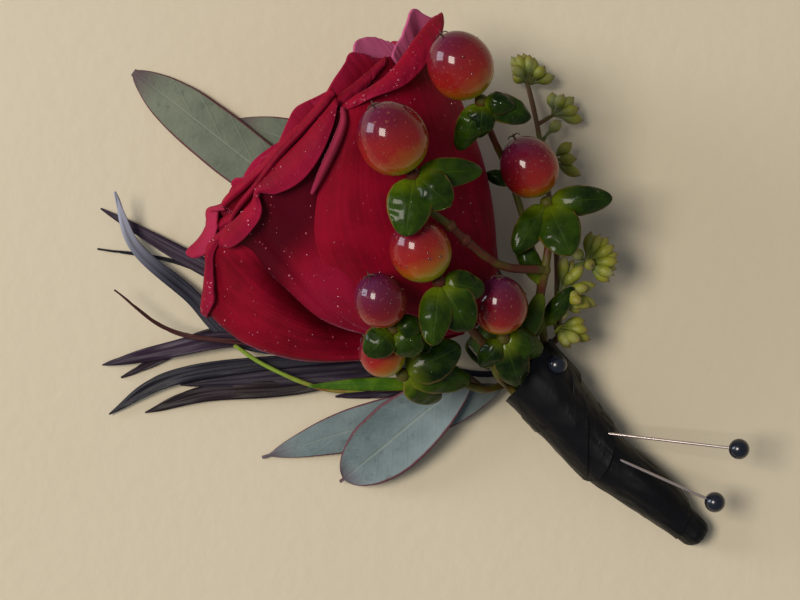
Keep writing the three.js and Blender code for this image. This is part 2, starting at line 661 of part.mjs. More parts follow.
pins.forEach((pin, i) => {
  const bead = solid(ball(BEAD_RADIUS, 10, 7, pin.bead));
  add(`pin_shaft_${i + 1}`, rod(pin, SHAFT_RADIUS, SHAFT_START, PIN_LENGTH, PIN_POINT), pinSteel);
  add(`pin_bead_${i + 1}`, largest(bead.subtract(bore(pin))), pearlBlack);
});

// Ribbon: overlapping slanted turns, hollow down to near the folded tip

// One turn, which stands out at its edge nearer the tip
function ribbonTurn(index) {
  const pitch = (bundleLength - 1) / RIBBON_TURNS;
  const band = new THREE.CylinderGeometry(1, 1, 1, 12, 2);
  const place = band.attributes.position;
  for (let i = 0; i < place.count; i += 1) {
    const share = 0.5 - place.getY(i);
    const radial = Math.hypot(place.getX(i), place.getZ(i));
    const turn = Math.atan2(place.getX(i), place.getZ(i));
    const slanted = index > 0 || share === 1;
    const slant = slanted ? radial * RIBBON_SLANT * Math.sin(turn) : 0;
    const distance = clamp((index + share * 1.12) * pitch + slant, 0.05, bundleLength - 0.05);
    const radius = radial * (bundleRadius(distance) - 0.35 + RIBBON_LAP * share);
    const point = bundlePoint(distance - MOUTH_AT, degrees(turn), radius);
    place.setXYZ(i, point.x, point.y, point.z);
  }
  return band;
}

// A large block beyond a plane through a place, on the side away from a way
function blockBehind(place, way) {
  const block = new THREE.BoxGeometry(300, 300, 30);
  block.translate(0, 0, -15);
  block.applyQuaternion(new THREE.Quaternion().setFromUnitVectors(UP, way.clone().normalize()));
  block.translate(place.x, place.y, place.z);
  return solid(block);
}

// The space inside the turns, open at the mouth and closed at the folded tip
function ribbonHollow() {
  const before = 2;
  const reach = 0.86;
  const start = bundleCurve.getPointAt(0).addScaledVector(bundleCurve.getTangentAt(0), -before);
  const shares = Array.from({ length: 10 }, (_, i) => (reach * i) / 9);
  const route = new THREE.CatmullRomCurve3([start, ...shares.map((share) => bundleCurve.getPointAt(share))]);
  const length = route.getLength();
  return solid(taperedTube(route, (t) => bundleRadius(t * length - before) - RIBBON_WALL, 12, 9));
}

// The third pin's bead is pressed into the ribbon's edge, which is dimpled round it
function ribbonWrap() {
  const way = bundleCurve.getTangentAt(MOUTH_AT / bundleLength);
  const right = UP.clone().cross(way).normalize();
  const mouthWay = way.clone().addScaledVector(UP, MOUTH_RISE).addScaledVector(right, MOUTH_SKEW);
  const turns = Array.from({ length: RIBBON_TURNS }, (_, i) => solid(ribbonTurn(i)));
  const cuts = [
    ribbonHollow(),
    blockBehind(bundlePoint(MOUTH_EDGE, 0, 0), mouthWay),
    blockBehind(vec(0, 0, 0), UP),
    solid(ball(BEAD_RADIUS + CLEARANCE, 10, 7, pins[2].bead)),
    ...pins.map(bore),
  ];
  return largest(wasm.Manifold.union(turns).subtract(wasm.Manifold.union(cuts)));
}

add('ribbon_wrap', ribbonWrap(), satinBlack);

// The origin is under the middle of the whole, on the table
const middle = new THREE.Box3().setFromObject(group).getCenter(vec(0, 0, 0));
group.position.set(-middle.x, -middle.y, 0);

export default group;
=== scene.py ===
import math
import random
from functools import lru_cache

import bmesh
import bpy
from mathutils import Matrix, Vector
from mathutils.noise import noise


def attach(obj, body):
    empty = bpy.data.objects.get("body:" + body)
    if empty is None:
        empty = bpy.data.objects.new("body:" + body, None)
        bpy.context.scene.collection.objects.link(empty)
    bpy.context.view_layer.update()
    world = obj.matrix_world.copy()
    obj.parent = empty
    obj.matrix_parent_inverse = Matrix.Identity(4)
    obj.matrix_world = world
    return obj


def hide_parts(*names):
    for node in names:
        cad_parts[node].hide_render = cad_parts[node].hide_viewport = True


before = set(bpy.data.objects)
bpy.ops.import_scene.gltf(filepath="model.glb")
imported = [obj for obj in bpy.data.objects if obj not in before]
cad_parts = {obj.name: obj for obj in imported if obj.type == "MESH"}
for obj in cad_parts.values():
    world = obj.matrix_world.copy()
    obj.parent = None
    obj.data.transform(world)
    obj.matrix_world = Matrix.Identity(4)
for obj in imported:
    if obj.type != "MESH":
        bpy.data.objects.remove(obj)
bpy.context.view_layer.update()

# Rose bloom: petals in layers round a closed heart, lying on its side with its mouth to the upper left.
# Each petal is a thin cupped sheet, crimson and velvety, whose rim rolls outward and lies back as a flap.
# Lengths are millimetres from a point of the table under the rose, and turns are degrees round its axis.

MILLIMETRE = 0.001
PART_MIDDLE = Vector((3.4025, 2.8208, 0))
UP = Vector((0, 0, 1))

ROSE_BASE = Vector((15.1, -3.9, 14.5))
ROSE_HEADING = math.radians(129.9)
ROSE_RISE = math.radians(9)
ROSE_FLATTEN = 0.755
ROSE_FLATTEN_MORE = 0.095
ROSE_ALONG = Vector((
    math.cos(ROSE_HEADING) * math.cos(ROSE_RISE),
    math.sin(ROSE_HEADING) * math.cos(ROSE_RISE),
    math.sin(ROSE_RISE),
))
ROSE_ACROSS = ROSE_ALONG.cross(UP).normalized()
ROSE_ABOVE = ROSE_ACROSS.cross(ROSE_ALONG)
PETAL_THICKNESS = 0.5


class Shade:
    """A value in a finish, so that its maths reads as plain expressions."""

    def __init__(self, finish, socket):
        self.finish = finish
        self.socket = socket

    def maths(self, operation, *values):
        return self.finish.node("ShaderNodeMath", {"operation": operation}, *values)

    def __add__(self, other):
        return self.maths("ADD", self, other)

    def __radd__(self, other):
        return self.maths("ADD", other, self)

    def __sub__(self, other):
        return self.maths("SUBTRACT", self, other)

    def __rsub__(self, other):
        return self.maths("SUBTRACT", other, self)

    def __mul__(self, other):
        return self.maths("MULTIPLY", self, other)

    def __abs__(self):
        return self.maths("ABSOLUTE", self)

    def wave(self):
        return self.maths("SINE", self)

    def step(self, low, high):
        """Rises smoothly from 0 where the value is low to 1 where it is high."""
        settings = {"interpolation_type": "SMOOTHSTEP"}
        return self.finish.node("ShaderNodeMapRange", settings, self, low, high, 0, 1)


class Finish:
    """A finish of this part: one material, whose nodes are all added by one method."""

    def __init__(self, name, **sockets):
        self.material = bpy.data.materials.new(name)
        self.material.use_nodes = True
        self.nodes = self.material.node_tree.nodes
        self.links = self.material.node_tree.links
        self.shader = self.nodes["Principled BSDF"]
        for socket, value in sockets.items():
            self.set(socket.replace("_", " ").title().replace("Ior", "IOR"), value)

    def feed(self, socket, value):
        if isinstance(value, Shade):
            self.links.new(value.socket, socket)
        else:
            socket.default_value = value

    def set(self, socket, value):
        self.feed(self.shader.inputs[socket], value)

    def node(self, kind, settings, *values, output=0):
        """Adds a node with its settings and the values of its sockets, and returns one of its outputs."""
        node = self.nodes.new(kind)
        for name, value in settings.items():
            if name == "stops":
                for stop in value[2:]:
                    node.color_ramp.elements.new(stop[0])
                for element, stop in zip(node.color_ramp.elements, value):
                    element.position = stop[0]
                    element.color = (*stop[1], 1)
            else:
                setattr(node, name, value)
        for socket, value in zip(node.inputs, values):
            if value is not None:
                self.feed(socket, value)
        return Shade(self, node.outputs[output])

    def place(self):
        """The place in the part's own frame, in metres."""
        return self.node("ShaderNodeTexCoord", {}, output=3)

    def uv(self):
        """The shares across and along a piece, from 0 to 1."""
        split = self.node("ShaderNodeSeparateXYZ", {}, self.node("ShaderNodeTexCoord", {}, output=2))
        return split, Shade(self, split.socket.node.outputs[1])

    def tone(self):
        """The value that each petal, berry, leaf or bud has of its own."""
        return self.node("ShaderNodeAttribute", {"attribute_name": "tone"}, output=2)

    def vector(self, x, y, z):
        return self.node("ShaderNodeCombineXYZ", {}, x, y, z)

    def noise(self, where, scale, detail=3, roughness=0.5):
        return self.node("ShaderNodeTexNoise", {}, where, None, scale, detail, roughness)

    def ramp(self, value, *stops):
        return self.node("ShaderNodeValToRGB", {"stops": stops}, value)

    def mix(self, share, low, high):
        """Mixes two colours."""
        node = self.node("ShaderNodeMix", {"data_type": "RGBA"}, share, output=2).socket.node
        for socket, colour in ((node.inputs[6], low), (node.inputs[7], high)):
            self.feed(socket, colour if isinstance(colour, Shade) else (*colour, 1))
        return Shade(self, node.outputs[2])

    def bump(self, height, distance):
        """Raises the surface by a height from 0 to 1 times a distance in metres."""
        self.set("Normal", self.node("ShaderNodeBump", {}, 1, distance, None, height))


def new_mesh():
    """A mesh with a UV map and a tone for each petal, berry, leaf or bud in it."""
    mesh = bmesh.new()
    mesh.loops.layers.uv.new("UVMap")
    mesh.verts.layers.float.new("tone")
    return mesh


def sheet(mesh, surface, across, along, tone=0):
    """Adds a sheet over surface(u, v), with u from -1 to 1 across it and v from 0 to 1 along it."""
    made = bmesh.ops.create_grid(mesh, x_segments=across, y_segments=along, size=1, calc_uvs=True)
    layer = mesh.verts.layers.float["tone"]
    for vertex in made["verts"]:
        vertex.co = surface(vertex.co.x, (vertex.co.y + 1) / 2)
        vertex[layer] = tone


def make_piece(name, mesh, material, slot, *nodes, thickness=0):
    """Makes a mesh in millimetres a piece in its place. It rides on the part and stands for CAD nodes."""
    bmesh.ops.translate(mesh, verts=mesh.verts, vec=-PART_MIDDLE)
    bmesh.ops.scale(mesh, verts=mesh.verts, vec=Vector((MILLIMETRE, MILLIMETRE, MILLIMETRE)))
    data = bpy.data.meshes.new(name)
    mesh.to_mesh(data)
    mesh.free()
    data.shade_smooth()
    data.materials.append(material)
    piece = bpy.data.objects.new(name, data)
    bpy.context.scene.collection.objects.link(piece)
    if thickness:
        solidify = piece.modifiers.new("thickness", "SOLIDIFY")
        solidify.thickness = thickness * MILLIMETRE
        solidify.offset = 0
    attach(piece, "root")
    if nodes:
        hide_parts(*nodes)


def rose_point(height, radius, turn):
    """A point of the rose: a height along its axis, a radius and a turn, 0 on top and + to the right."""
    turn = math.radians(turn)
    flatten = ROSE_FLATTEN + ROSE_FLATTEN_MORE * math.cos(turn)
    above = ROSE_ABOVE * (radius * math.cos(turn) * flatten)
    return ROSE_BASE + ROSE_ALONG * height + above + ROSE_ACROSS * (radius * math.sin(turn))


def curve(*knots):
    """A smooth function through knots of a place and a value, level beyond its ends."""

    def at(place):
        if place <= knots[0][0]:
            return knots[0][1]
        if place >= knots[-1][0]:
            return knots[-1][1]
        index = sum(knot[0] <= place for knot in knots) - 1
        before, start, end = knots[max(index - 1, 0)], knots[index], knots[index + 1]
        after = knots[min(index + 2, len(knots) - 1)]
        width = end[0] - start[0]
        leave = (end[1] - before[1]) / (end[0] - before[0]) * width
        reach = (after[1] - start[1]) / (after[0] - start[0]) * width
        t = (place - start[0]) / width
        rise = end[1] - start[1]
        square = 3 * rise - 2 * leave - reach
        return start[1] + leave * t + square * t**2 + (leave + reach - 2 * rise) * t**3

    return at


PROFILE_STEPS = 60
CLAW_WIDTH = 0.6
CLAW_FLARE = 0.6
RIM_DROP = 0.05
RIM_FALL = 2.6
RIM_WAVE = 0.3


def petal_surface(rim, turn, half, belly, shoulder, roll, curl, tuck=1.2):
    """One inner petal: a strip of a cup whose profile is a Bezier curve, with a rolled rim."""
    corners = [Vector((0, 3)), Vector(belly), Vector(shoulder), Vector(rim)]

    def profile(t):
        rest = 1 - t
        shares = (rest**3, 3 * rest**2 * t, 3 * rest * t**2, t**3)
        return sum((corner * share for corner, share in zip(corners, shares)), Vector((0, 0)))

    steps = [profile(i / PROFILE_STEPS) for i in range(PROFILE_STEPS + 1)]
    length = sum((after - before).length for before, after in zip(steps, steps[1:]))

    def surface(u, v):
        off = min(abs(u), 1)
        end = 1 - RIM_DROP * off**RIM_FALL
        rolled = math.radians(roll) * (0.4 + 0.6 * min(off * 2.5, 1))
        run = v * (end * length + curl * rolled)
        point = profile(min(run / length, end))
        past = run - end * length
        if past > 0:
            way = (profile(end) - profile(end - 0.001)).normalized()
            out = Vector((-way.y, way.x))
            bent = past / curl
            point += way * (curl * math.sin(bent)) + out * (curl * (1 - math.cos(bent)))
        radius = point.y + tuck * u * v + RIM_WAVE * math.sin(3.1 * u + turn) * v * v
        spread = CLAW_WIDTH + (1 - CLAW_WIDTH) * v**CLAW_FLARE
        return rose_point(point.x, radius, turn + half * u * spread)

    return surface


def through(points):
    """A smooth curve through points, as a function of a share from 0 to 1."""
    points = [Vector(point) for point in points]
    padded = [2 * points[0] - points[1], *points, 2 * points[-1] - points[-2]]

    def at(share):
        place = min(max(share, 0), 1) * (len(points) - 1)
        index = min(int(place), len(points) - 2)
        t = place - index
        before, start, end, after = padded[index:index + 4]
        gaps = [math.sqrt((b - a).length) for a, b in ((before, start), (start, end), (end, after))]
        leave = (start - before) / gaps[0] - (end - before) / (gaps[0] + gaps[1]) + (end - start) / gaps[1]
        reach = (end - start) / gaps[1] - (after - start) / (gaps[1] + gaps[2]) + (after - end) / gaps[2]
        leave *= gaps[1]
        reach *= gaps[1]
        square = 3 * (end - start) - 2 * leave - reach
        cube = 2 * (start - end) + leave + reach
        return start + leave * t + square * t**2 + cube * t**3

    return at


CUP = curve((0, 0.1), (0.09, 0.33), (0.25, 0.58), (0.36, 0.71), (0.47, 0.82), (0.72, 0.97), (0.88, 1), (1, 1))
CUP_HEIGHTS = (0, 0.1, 0.25, 0.45, 0.68, 0.86, 0.95)
FLARED_CUP = curve(
    (0, 0.1), (0.09, 0.33), (0.25, 0.58), (0.36, 0.7), (0.47, 0.79), (0.6, 0.85), (0.72, 0.885), (0.86, 0.94),
    (1, 1),
)
FLAP_BULGE = 0.9


def folded_petal(fold, free=None, sides=None, dip=None, groove=None, cup=CUP):
    """An outer petal: from its claw up to its fold, where it turns back down to its free edge.

    Both lines cross the petal from left to right, by heights, radii and turns. The sides are the turns
    of its two edges at each height. At each share of the way across, dip is how much of its radius its
    body lacks. At each place across the rose and height, groove is how deep it sinks towards the table,
    and at each share of the way up, cup is how much of its radius at the fold it has.
    """
    fold_line, free_line = through(fold), through(free or fold)
    ends = fold[0][2], fold[-1][2]
    narrow = sum(ends) / 2
    sides = sides or [curve((0, (end + narrow) / 2), (40, end)) for end in ends]

    @lru_cache(maxsize=None)
    def column(share):
        top, radius, turn = fold_line(share)
        points = []
        for rise in CUP_HEIGHTS:
            left, right = (side(top * rise) - end for side, end in zip(sides, ends))
            full = radius * cup(rise) * (1 - dip(share) * (1 - rise**6) if dip else 1)
            place = turn + left * (1 - share) + right * share
            across = full * math.sin(math.radians(place))
            sunk = ROSE_ABOVE * groove(across, top * rise) if groove else Vector()
            points.append(rose_point(top * rise, full, place) - sunk)
        points.append(rose_point(top, radius, turn))
        if free:
            edge = free_line(share)
            middle = (edge + Vector((top, radius, turn))) / 2
            bulge = FLAP_BULGE * math.sin(math.pi * share) ** 0.5
            points.append(rose_point(middle.x, middle.y + bulge, middle.z))
            points.append(rose_point(*edge))
        return through(points)

    return lambda u, v: column((u + 1) / 2)(v)


RUFFLE = 0.5
FINE_RUFFLE = 0.25


def ruffled(surface, seed):
    """A petal's surface with the small waves of a living petal, largest at its rim."""

    def waved(u, v):
        point = surface(u, v)
        place = Vector((2.2 * u, 2 * v, seed * 3.7))
        fine = Vector((9 * u, 3 * v, seed * 1.3))
        amount = RUFFLE * noise(place) * v + FINE_RUFFLE * noise(fine) * v**4
        side = (point - ROSE_BASE) - ROSE_ALONG * (point - ROSE_BASE).dot(ROSE_ALONG)
        return point + side.normalized() * amount

    return waved


def petal_ring(count, first, **values):
    """Evenly turned petals with rims a little uneven."""
    height, radius = values.pop("rim")
    return [
        dict(
            values,
            turn=first + 360 / count * i + 6 * math.sin(2.4 * i + first),
            rim=(height + 1.2 * math.sin(5.1 * i + first), radius),
        )
        for i in range(count)
    ]


def leaf_surface(
    points, half, wide=0.85, blunt=0.7, camber=0.6, facing=UP, tip=0.25, nib=0, ripple=0.15, groove=0, seed=0,
):
    """A leaf along points.

    wide tells where it is widest, blunt how full its ends are, tip its least half width and nib the
    share of its length that its small point takes. camber is how high its middle stands, ripple how
    wavy it is towards its edges and groove how deep its rib lies.
    """
    spine = through(points)

    def surface(u, v):
        point = spine(v)
        way = (spine(v + 0.01) - spine(v - 0.01)).normalized()
        side = way.cross(facing).normalized()
        above = side.cross(way).normalized()
        width = max(half * max(math.sin(math.pi * min(v / (1 - nib), 1) ** wide), 0) ** blunt, tip)
        lift = camber * (1 - u * u) * min(width / half, 1)
        lift += ripple * noise(Vector((u * 1.5, v * 6, seed * 2.3))) * abs(u)
        lift -= groove * math.exp(-((u / 0.1) ** 2)) * math.sin(math.pi * v)
        width *= 1 + 0.03 * noise(Vector((math.copysign(1, u), v * 9, seed)))
        return point + side * (u * width) + above * lift

    return surface


def leaf(mesh, points, half, cells, tone=0, **shape):
    """Adds a leaf with its numbers of cells across and along, and returns its surface."""
    surface = leaf_surface(points, half, **shape)
    sheet(mesh, surface, *cells, tone)
    return surface


def petal_velvet():
    finish = Finish(
        "petal_velvet", sheen_weight=0.22, sheen_roughness=0.16, sheen_tint=(1, 0.45, 0.75, 1),
        specular_ior_level=0.08, subsurface_weight=0.05, subsurface_radius=(1, 0.1, 0.1),
        subsurface_scale=0.001,
    )
    place = finish.place()
    across, along = finish.uv()
    tone = finish.tone()
    streaks = finish.noise(finish.vector(across * 60, along * 2.4, tone * 9), 1, 4, 0.6)
    mottle = finish.noise(place, 140, 4, 0.55)
    depth = (streaks * 0.45 + mottle * 0.8 + tone * 0.3 - 0.15).step(0.25, 0.9)
    colour = finish.mix(depth, (0.1, 0.0005, 0.005), (0.28, 0.0025, 0.019))
    rim = along.step(0.8, 1)
    # Painted light: tones from 0.45 to 0.65 pick the front petal, whose lower part is painted brighter and
    # pinker where the window light falls on it.
    front = tone.step(0.45, 0.5) * (1 - tone.step(0.6, 0.65))
    colour = finish.mix((1 - along.step(0.36, 0.46)) * front * 0.45, colour, (0.36, 0.007, 0.042))
    # Painted shadow: the front petal is painted near black in a band just under its flap.
    painted_flap_shadow = along.step(0.4, 0.5) * (1 - along.step(0.72, 0.8)) * front
    colour = finish.mix(painted_flap_shadow * 0.88, colour, (0.062, 0.0006, 0.0065))
    # Painted sheen: the rims are painted pinker and lighter.
    colour = finish.mix(rim * 0.4, colour, (0.36, 0.012, 0.06))
    # Painted sheen: petals with tones from 0.9 up, which face the window light, are painted pink.
    colour = finish.mix(tone.step(0.9, 1) * 0.75, colour, (0.52, 0.12, 0.25))
    finish.set("Base Color", colour)
    finish.set("Roughness", 0.55 + mottle * 0.25)
    nap = finish.noise(place, 3200, 2, 0.6)
    finish.bump(nap * 0.4 + streaks * (1 - rim * 0.8) * 0.6, 0.00013)
    return finish.material


# The front petal covers the middle, the left one cups round the side and the right one runs to the back.
# The left one sinks in under the front one's left edge, which leaves a dark groove beside that edge.
# The groove has a depth at each distance from that edge, and a share of that depth at each height.
FRONT_LEFT_EDGE = curve((0, -70), (11, -98), (19, -86), (24, -78), (33, -73), (39, -68), (44.8, -67))
FRONT_LEFT_ACROSS = curve((6, -15), (11, -19.4), (19, -22.5), (24, -23.5), (33, -25), (38, -26))
GROOVE_BESIDE = curve((-5, 0), (-2.5, 1.5), (0, 7), (2.5, 12))
GROOVE_ALONG = curve((0, 0), (6, 0.4), (10, 0.8), (14, 1), (24, 1), (30, 0.6), (36, 0.15), (40, 0))


def front_groove(across, height):
    return GROOVE_BESIDE(across - FRONT_LEFT_ACROSS(height)) * GROOVE_ALONG(height)


FRONT_PETAL = dict(
    fold=[
        (44.8, 30.5, -67), (45.9, 30.5, -54), (46.5, 30.5, -43), (47, 30, -37.5), (48.6, 30, -31.5),
        (49.1, 30, -26.5), (49.8, 30, -17), (50.3, 30, -8), (51.1, 30, 1.5), (51.8, 29, 10),
    ],
    free=[
        (44.5, 31, -66), (42.7, 31.5, -57), (43.2, 31.5, -42), (44.8, 31.5, -34.5), (47.6, 31, -31.4),
        (45.7, 31.5, -26), (44.7, 31.5, -17), (45.7, 31.5, -8), (48.2, 31, 1.5), (51, 30, 9),
    ],
    sides=(
        FRONT_LEFT_EDGE,
        curve((0, -45), (12, -50), (21, -35), (31.6, -23), (41.5, -18), (45.2, -5), (51.8, 10)),
    ),
    dip=curve((0, 0.12), (0.05, 0.04), (0.11, 0)),
    cup=FLARED_CUP,
)
LEFT_PETAL = dict(
    fold=[
        (31, 38, -130), (35, 39, -112), (37.4, 37.7, -89), (39.5, 35.9, -84), (42.5, 33.7, -76),
        (45.2, 32.3, -68), (46, 29, -58), (46.5, 26.5, -48),
    ],
    free=[
        (28.5, 39, -128), (32.2, 40, -110), (34.9, 38.4, -86), (36.3, 36.6, -80), (40.2, 34.4, -73.5),
        (43.7, 32.6, -66), (45.3, 29, -58), (46, 26.5, -48),
    ],
    groove=front_groove,
)
RIGHT_PETAL = dict(
    fold=[
        (50.1, 28, 10), (49.9, 29, 16), (49.3, 29, 22.5), (48.9, 29, 30), (49.2, 29, 39.7),
        (50.2, 29.5, 52.7), (50.6, 30, 70), (50.1, 32, 82),
    ],
    free=[
        (49.3, 29, 9.6), (48.5, 30, 14.4), (47.9, 31, 19), (46.6, 31, 25.6), (45.7, 31, 32),
        (45.6, 31, 40.4), (46.6, 31.5, 52.7), (47.9, 31.5, 65),
    ],
    sides=(
        curve((0, -20), (20, -45), (35, -30), (45, -6), (50.1, 10)),
        curve((0, 60), (12, 96), (30, 104), (46, 98), (50.1, 82)),
    ),
    dip=curve((0, 0), (0.4, 0.03), (0.7, 0.12), (1, 0.25)),
)
SECOND_PETALS = [
    dict(
        fold=[
            (45.8, 35.2, -74), (46.7, 34.6, -76), (47, 31.2, -76), (48, 28.4, -76), (49.7, 27.1, -76),
            (49.5, 26, -60),
        ],
        free=[
            (44.8, 34.4, -73), (44.4, 32.8, -70), (45, 30.9, -68), (47, 28.5, -66), (48.9, 26.7, -66),
            (48.5, 27, -58),
        ],
        dip=curve((0, 0.35), (0.3, 0.3), (0.8, 0.12), (1, 0.12)),
    ),
    dict(
        fold=[(46.4, 29, -76), (46.9, 28.4, -73), (47.2, 27.4, -70), (47.2, 26.4, -65), (46.9, 25.5, -58)],
        free=[(45.6, 29.4, -74), (46, 29, -71), (46, 28.2, -68), (46, 27.2, -63.5), (46, 26.4, -57)],
        dip=curve((0, 0.3), (1, 0.1)),
    ),
    dict(
        fold=[
            (49.5, 27, -58), (50.4, 28, -48.5), (50.8, 28, -36), (51.1, 28, -26), (52.2, 28, -14),
            (52.5, 27.6, -3), (53.7, 27, 12.6),
        ],
        free=[
            (49, 27.8, -57), (49.4, 28.8, -48), (49.7, 28.9, -35.5), (50, 28.9, -26), (51, 28.8, -14),
            (51.4, 28.5, -3), (52.8, 27.6, 12),
        ],
        dip=curve((0, 0.13), (1, 0.13)),
    ),
    dict(
        fold=[
            (46.5, 29, -55), (47.9, 29, -46), (49.4, 29, -31), (51.2, 29, -17), (51.9, 29, -6),
            (52.7, 28, 5.5), (53.2, 27, 12),
        ],
        free=[
            (46, 29.4, -55), (47.2, 29.6, -46), (48.7, 29.7, -31), (50.4, 29.7, -17), (51.1, 29.6, -6),
            (52, 28.6, 5.5), (52.6, 27.5, 12),
        ],
        dip=curve((0, 0.15), (1, 0.15)),
    ),
    dict(
        fold=[
            (51.5, 26, 0), (51.7, 26, 12), (51.5, 26, 20), (51.4, 26, 28), (51.4, 26, 34.5), (51.3, 26, 41.7),
        ],
        free=[
            (50.5, 26.8, 0), (50.3, 27, 11.6), (49.8, 27, 17.4), (49.7, 27, 24.4), (50.1, 27, 28.7),
            (50.5, 27, 35.9),
        ],
    ),
    dict(fold=[
        (50, 21, -32), (52.2, 21, -20), (53.9, 21, -11), (54.9, 21, -4), (54.6, 21, 2), (54.1, 21, 7),
        (53.6, 21, 13), (52.5, 21, 24),
    ]),
    dict(fold=[
        (50, 24, -50), (51.3, 24, -34.3), (51.8, 24, -29.3), (51.6, 24, -26.1), (51.9, 24, -20.5),
        (51.5, 24, -5),
    ]),
    dict(fold=[
        (49.5, 26, -62), (51, 26, -49), (52, 26, -45), (50.7, 26, -36.7), (51.2, 26, -30.6), (50.5, 26, -15),
    ]),
    dict(fold=[
        (53.5, 22, 4), (53.5, 22, 11.8), (54.5, 22, 20.7), (55.4, 22, 30.7), (56, 22, 35.5), (54.1, 22, 41),
        (52, 22, 46.2), (50, 22, 60),
    ]),
    dict(fold=[
        (53, 20.5, 25), (55.3, 20.7, 38), (56.8, 20.8, 48), (54.9, 21.7, 58), (52.7, 22.5, 62),
        (51.2, 22.9, 64), (50, 23, 72),
    ]),
    dict(fold=[
        (50.5, 24, 50), (51.3, 23.9, 56), (51.9, 24.9, 62), (53.3, 26.9, 68), (54.2, 28.9, 75),
        (50.9, 29.6, 80), (50.3, 30.6, 84), (49, 30.6, 92),
    ], dip=curve((0, 0.05), (0.4, 0.16), (0.6, 0.26), (1, 0.36))),
]
INNER_PETALS = [
    dict(turn=142, half=48, belly=(5, 15), shoulder=(26, 21), rim=(48, 22), roll=60, curl=2.5, tuck=1),
    dict(turn=-150, half=50, belly=(5, 17), shoulder=(24, 25), rim=(45, 24), roll=60, curl=2.5, tuck=1),
    dict(turn=120, half=46, belly=(5, 13), shoulder=(28, 19), rim=(50.5, 22), roll=60, curl=1.6),
    dict(turn=200, half=50, belly=(5, 13), shoulder=(28, 20), rim=(46.5, 21), roll=60, curl=1.6),
    *petal_ring(5, -8, half=50, belly=(8, 11), shoulder=(30, 18), rim=(48.5, 18), roll=80, curl=1.4),
    *petal_ring(4, 30, half=60, belly=(10, 9), shoulder=(32, 16), rim=(47.5, 14), roll=40, curl=1.6),
    *petal_ring(3, 60, half=75, belly=(12, 7), shoulder=(34, 11), rim=(46.5, 7.5), roll=10, curl=2),
]

OUTER_CELLS = 80
SECOND_CELLS = 60
INNER_CELLS = 32
# Petal tones also carry painted light: from 0.45 to 0.65 the front petal's painted light and shadow, and from
# 0.9 up a painted pink sheen.
PETAL_TONES_AND_PAINTED_LIGHT = {1: 0.55, 2: 0.4, 3: 0.75, 4: 0.92, 5: 0.5, 13: 1, 14: 1}
velvet = petal_velvet()
petals = [(folded_petal(**values), OUTER_CELLS) for values in (FRONT_PETAL, LEFT_PETAL, RIGHT_PETAL)]
petals += [(folded_petal(**values), SECOND_CELLS) for values in SECOND_PETALS]
petals += [(petal_surface(**values), INNER_CELLS) for values in INNER_PETALS]
petal_sheets = []
for number, (surface, cells) in enumerate(petals, 1):
    surface = ruffled(surface, number)
    petal_sheets.append(surface)
    bloom = new_mesh()
    sheet(bloom, surface, cells, cells, PETAL_TONES_AND_PAINTED_LIGHT.get(number, 0.9 * random.Random(number).random()))
    make_piece(
        f"rose_petal_{number:02}", bloom, velvet, "rose_petals", "rose_petals", thickness=PETAL_THICKNESS
    )

# One petal's edge is rolled into a thin quill that lies on the front petal.
ROLLED_EDGE = [
    (50, 29.8, 9.6), (48.2, 30.1, 7.1), (46.5, 30.3, 2), (45, 30.3, -4), (43.5, 30, -10), (41.6, 29.3, -17.8),
]
ROLLED_HALF = 0.65
# Its tone of 0.93 gives the rolled edge a faint painted pink sheen.
ROLLED_TONE_AND_PAINTED_SHEEN = 0.93
rolled_edge = new_mesh()
leaf(
    rolled_edge, [rose_point(*point) for point in ROLLED_EDGE], ROLLED_HALF, (10, 40), ROLLED_TONE_AND_PAINTED_SHEEN,
    wide=1, blunt=0.5, camber=0.7, facing=ROSE_ABOVE, tip=0.1,
)
make_piece("rose_rolled_edge", rolled_edge, velvet, "rose_petals", "rose_petals", thickness=PETAL_THICKNESS)


def join_seams(mesh):
    """Merges the seams and poles of closed surfaces, fills their open ends and turns all faces outward."""
    bmesh.ops.remove_doubles(mesh, verts=mesh.verts, dist=1e-4)
    bmesh.ops.holes_fill(mesh, edges=[edge for edge in mesh.edges if edge.is_boundary], sides=0)
    bmesh.ops.recalc_face_normals(mesh, faces=mesh.faces)


def ball(radius):
    """The outline of a ball: its radius and height at a share of the way from its foot to its top."""
    return lambda share: (radius * math.sin(math.pi * share), -radius * math.cos(math.pi * share))


def lathe(mesh, outline, sides, rings, start, way, tone=0):
    """Adds a turned shape. outline(share) gives its radius and height from its foot to its top."""
    turning = way.to_track_quat("Z", "Y")

    def skin(u, v):
        radius, height = outline(v)
        turn = math.pi * u
        return start + turning @ Vector((radius * math.cos(turn), radius * math.sin(turn), height))

    sheet(mesh, skin, sides, rings, tone)


HEART_FOOT = -1
HEART_LENGTH = 45
HEART_RADIUS = 11


def heart_skin(u, v):
    """The closed heart that the petals stand round."""
    radius = HEART_RADIUS * max(math.sin(math.pi * min(v * 1.02, 1)), 0) ** 0.6
    return rose_point(HEART_FOOT + HEART_LENGTH * v, radius, 180 * u)


heart = new_mesh()
sheet(heart, heart_skin, 40, 30)
join_seams(heart)
make_piece("rose_heart", heart, velvet, "rose_petals", "rose_petals")

# Stems of the bundle: each cut stem runs from inside the ribbon out through its mouth.
# The rose's own stem is the thickest and runs down the middle, and it carries the hip and five sepals.
# The other stems stand in a ring round it, each at its own turn from the bundle's top.

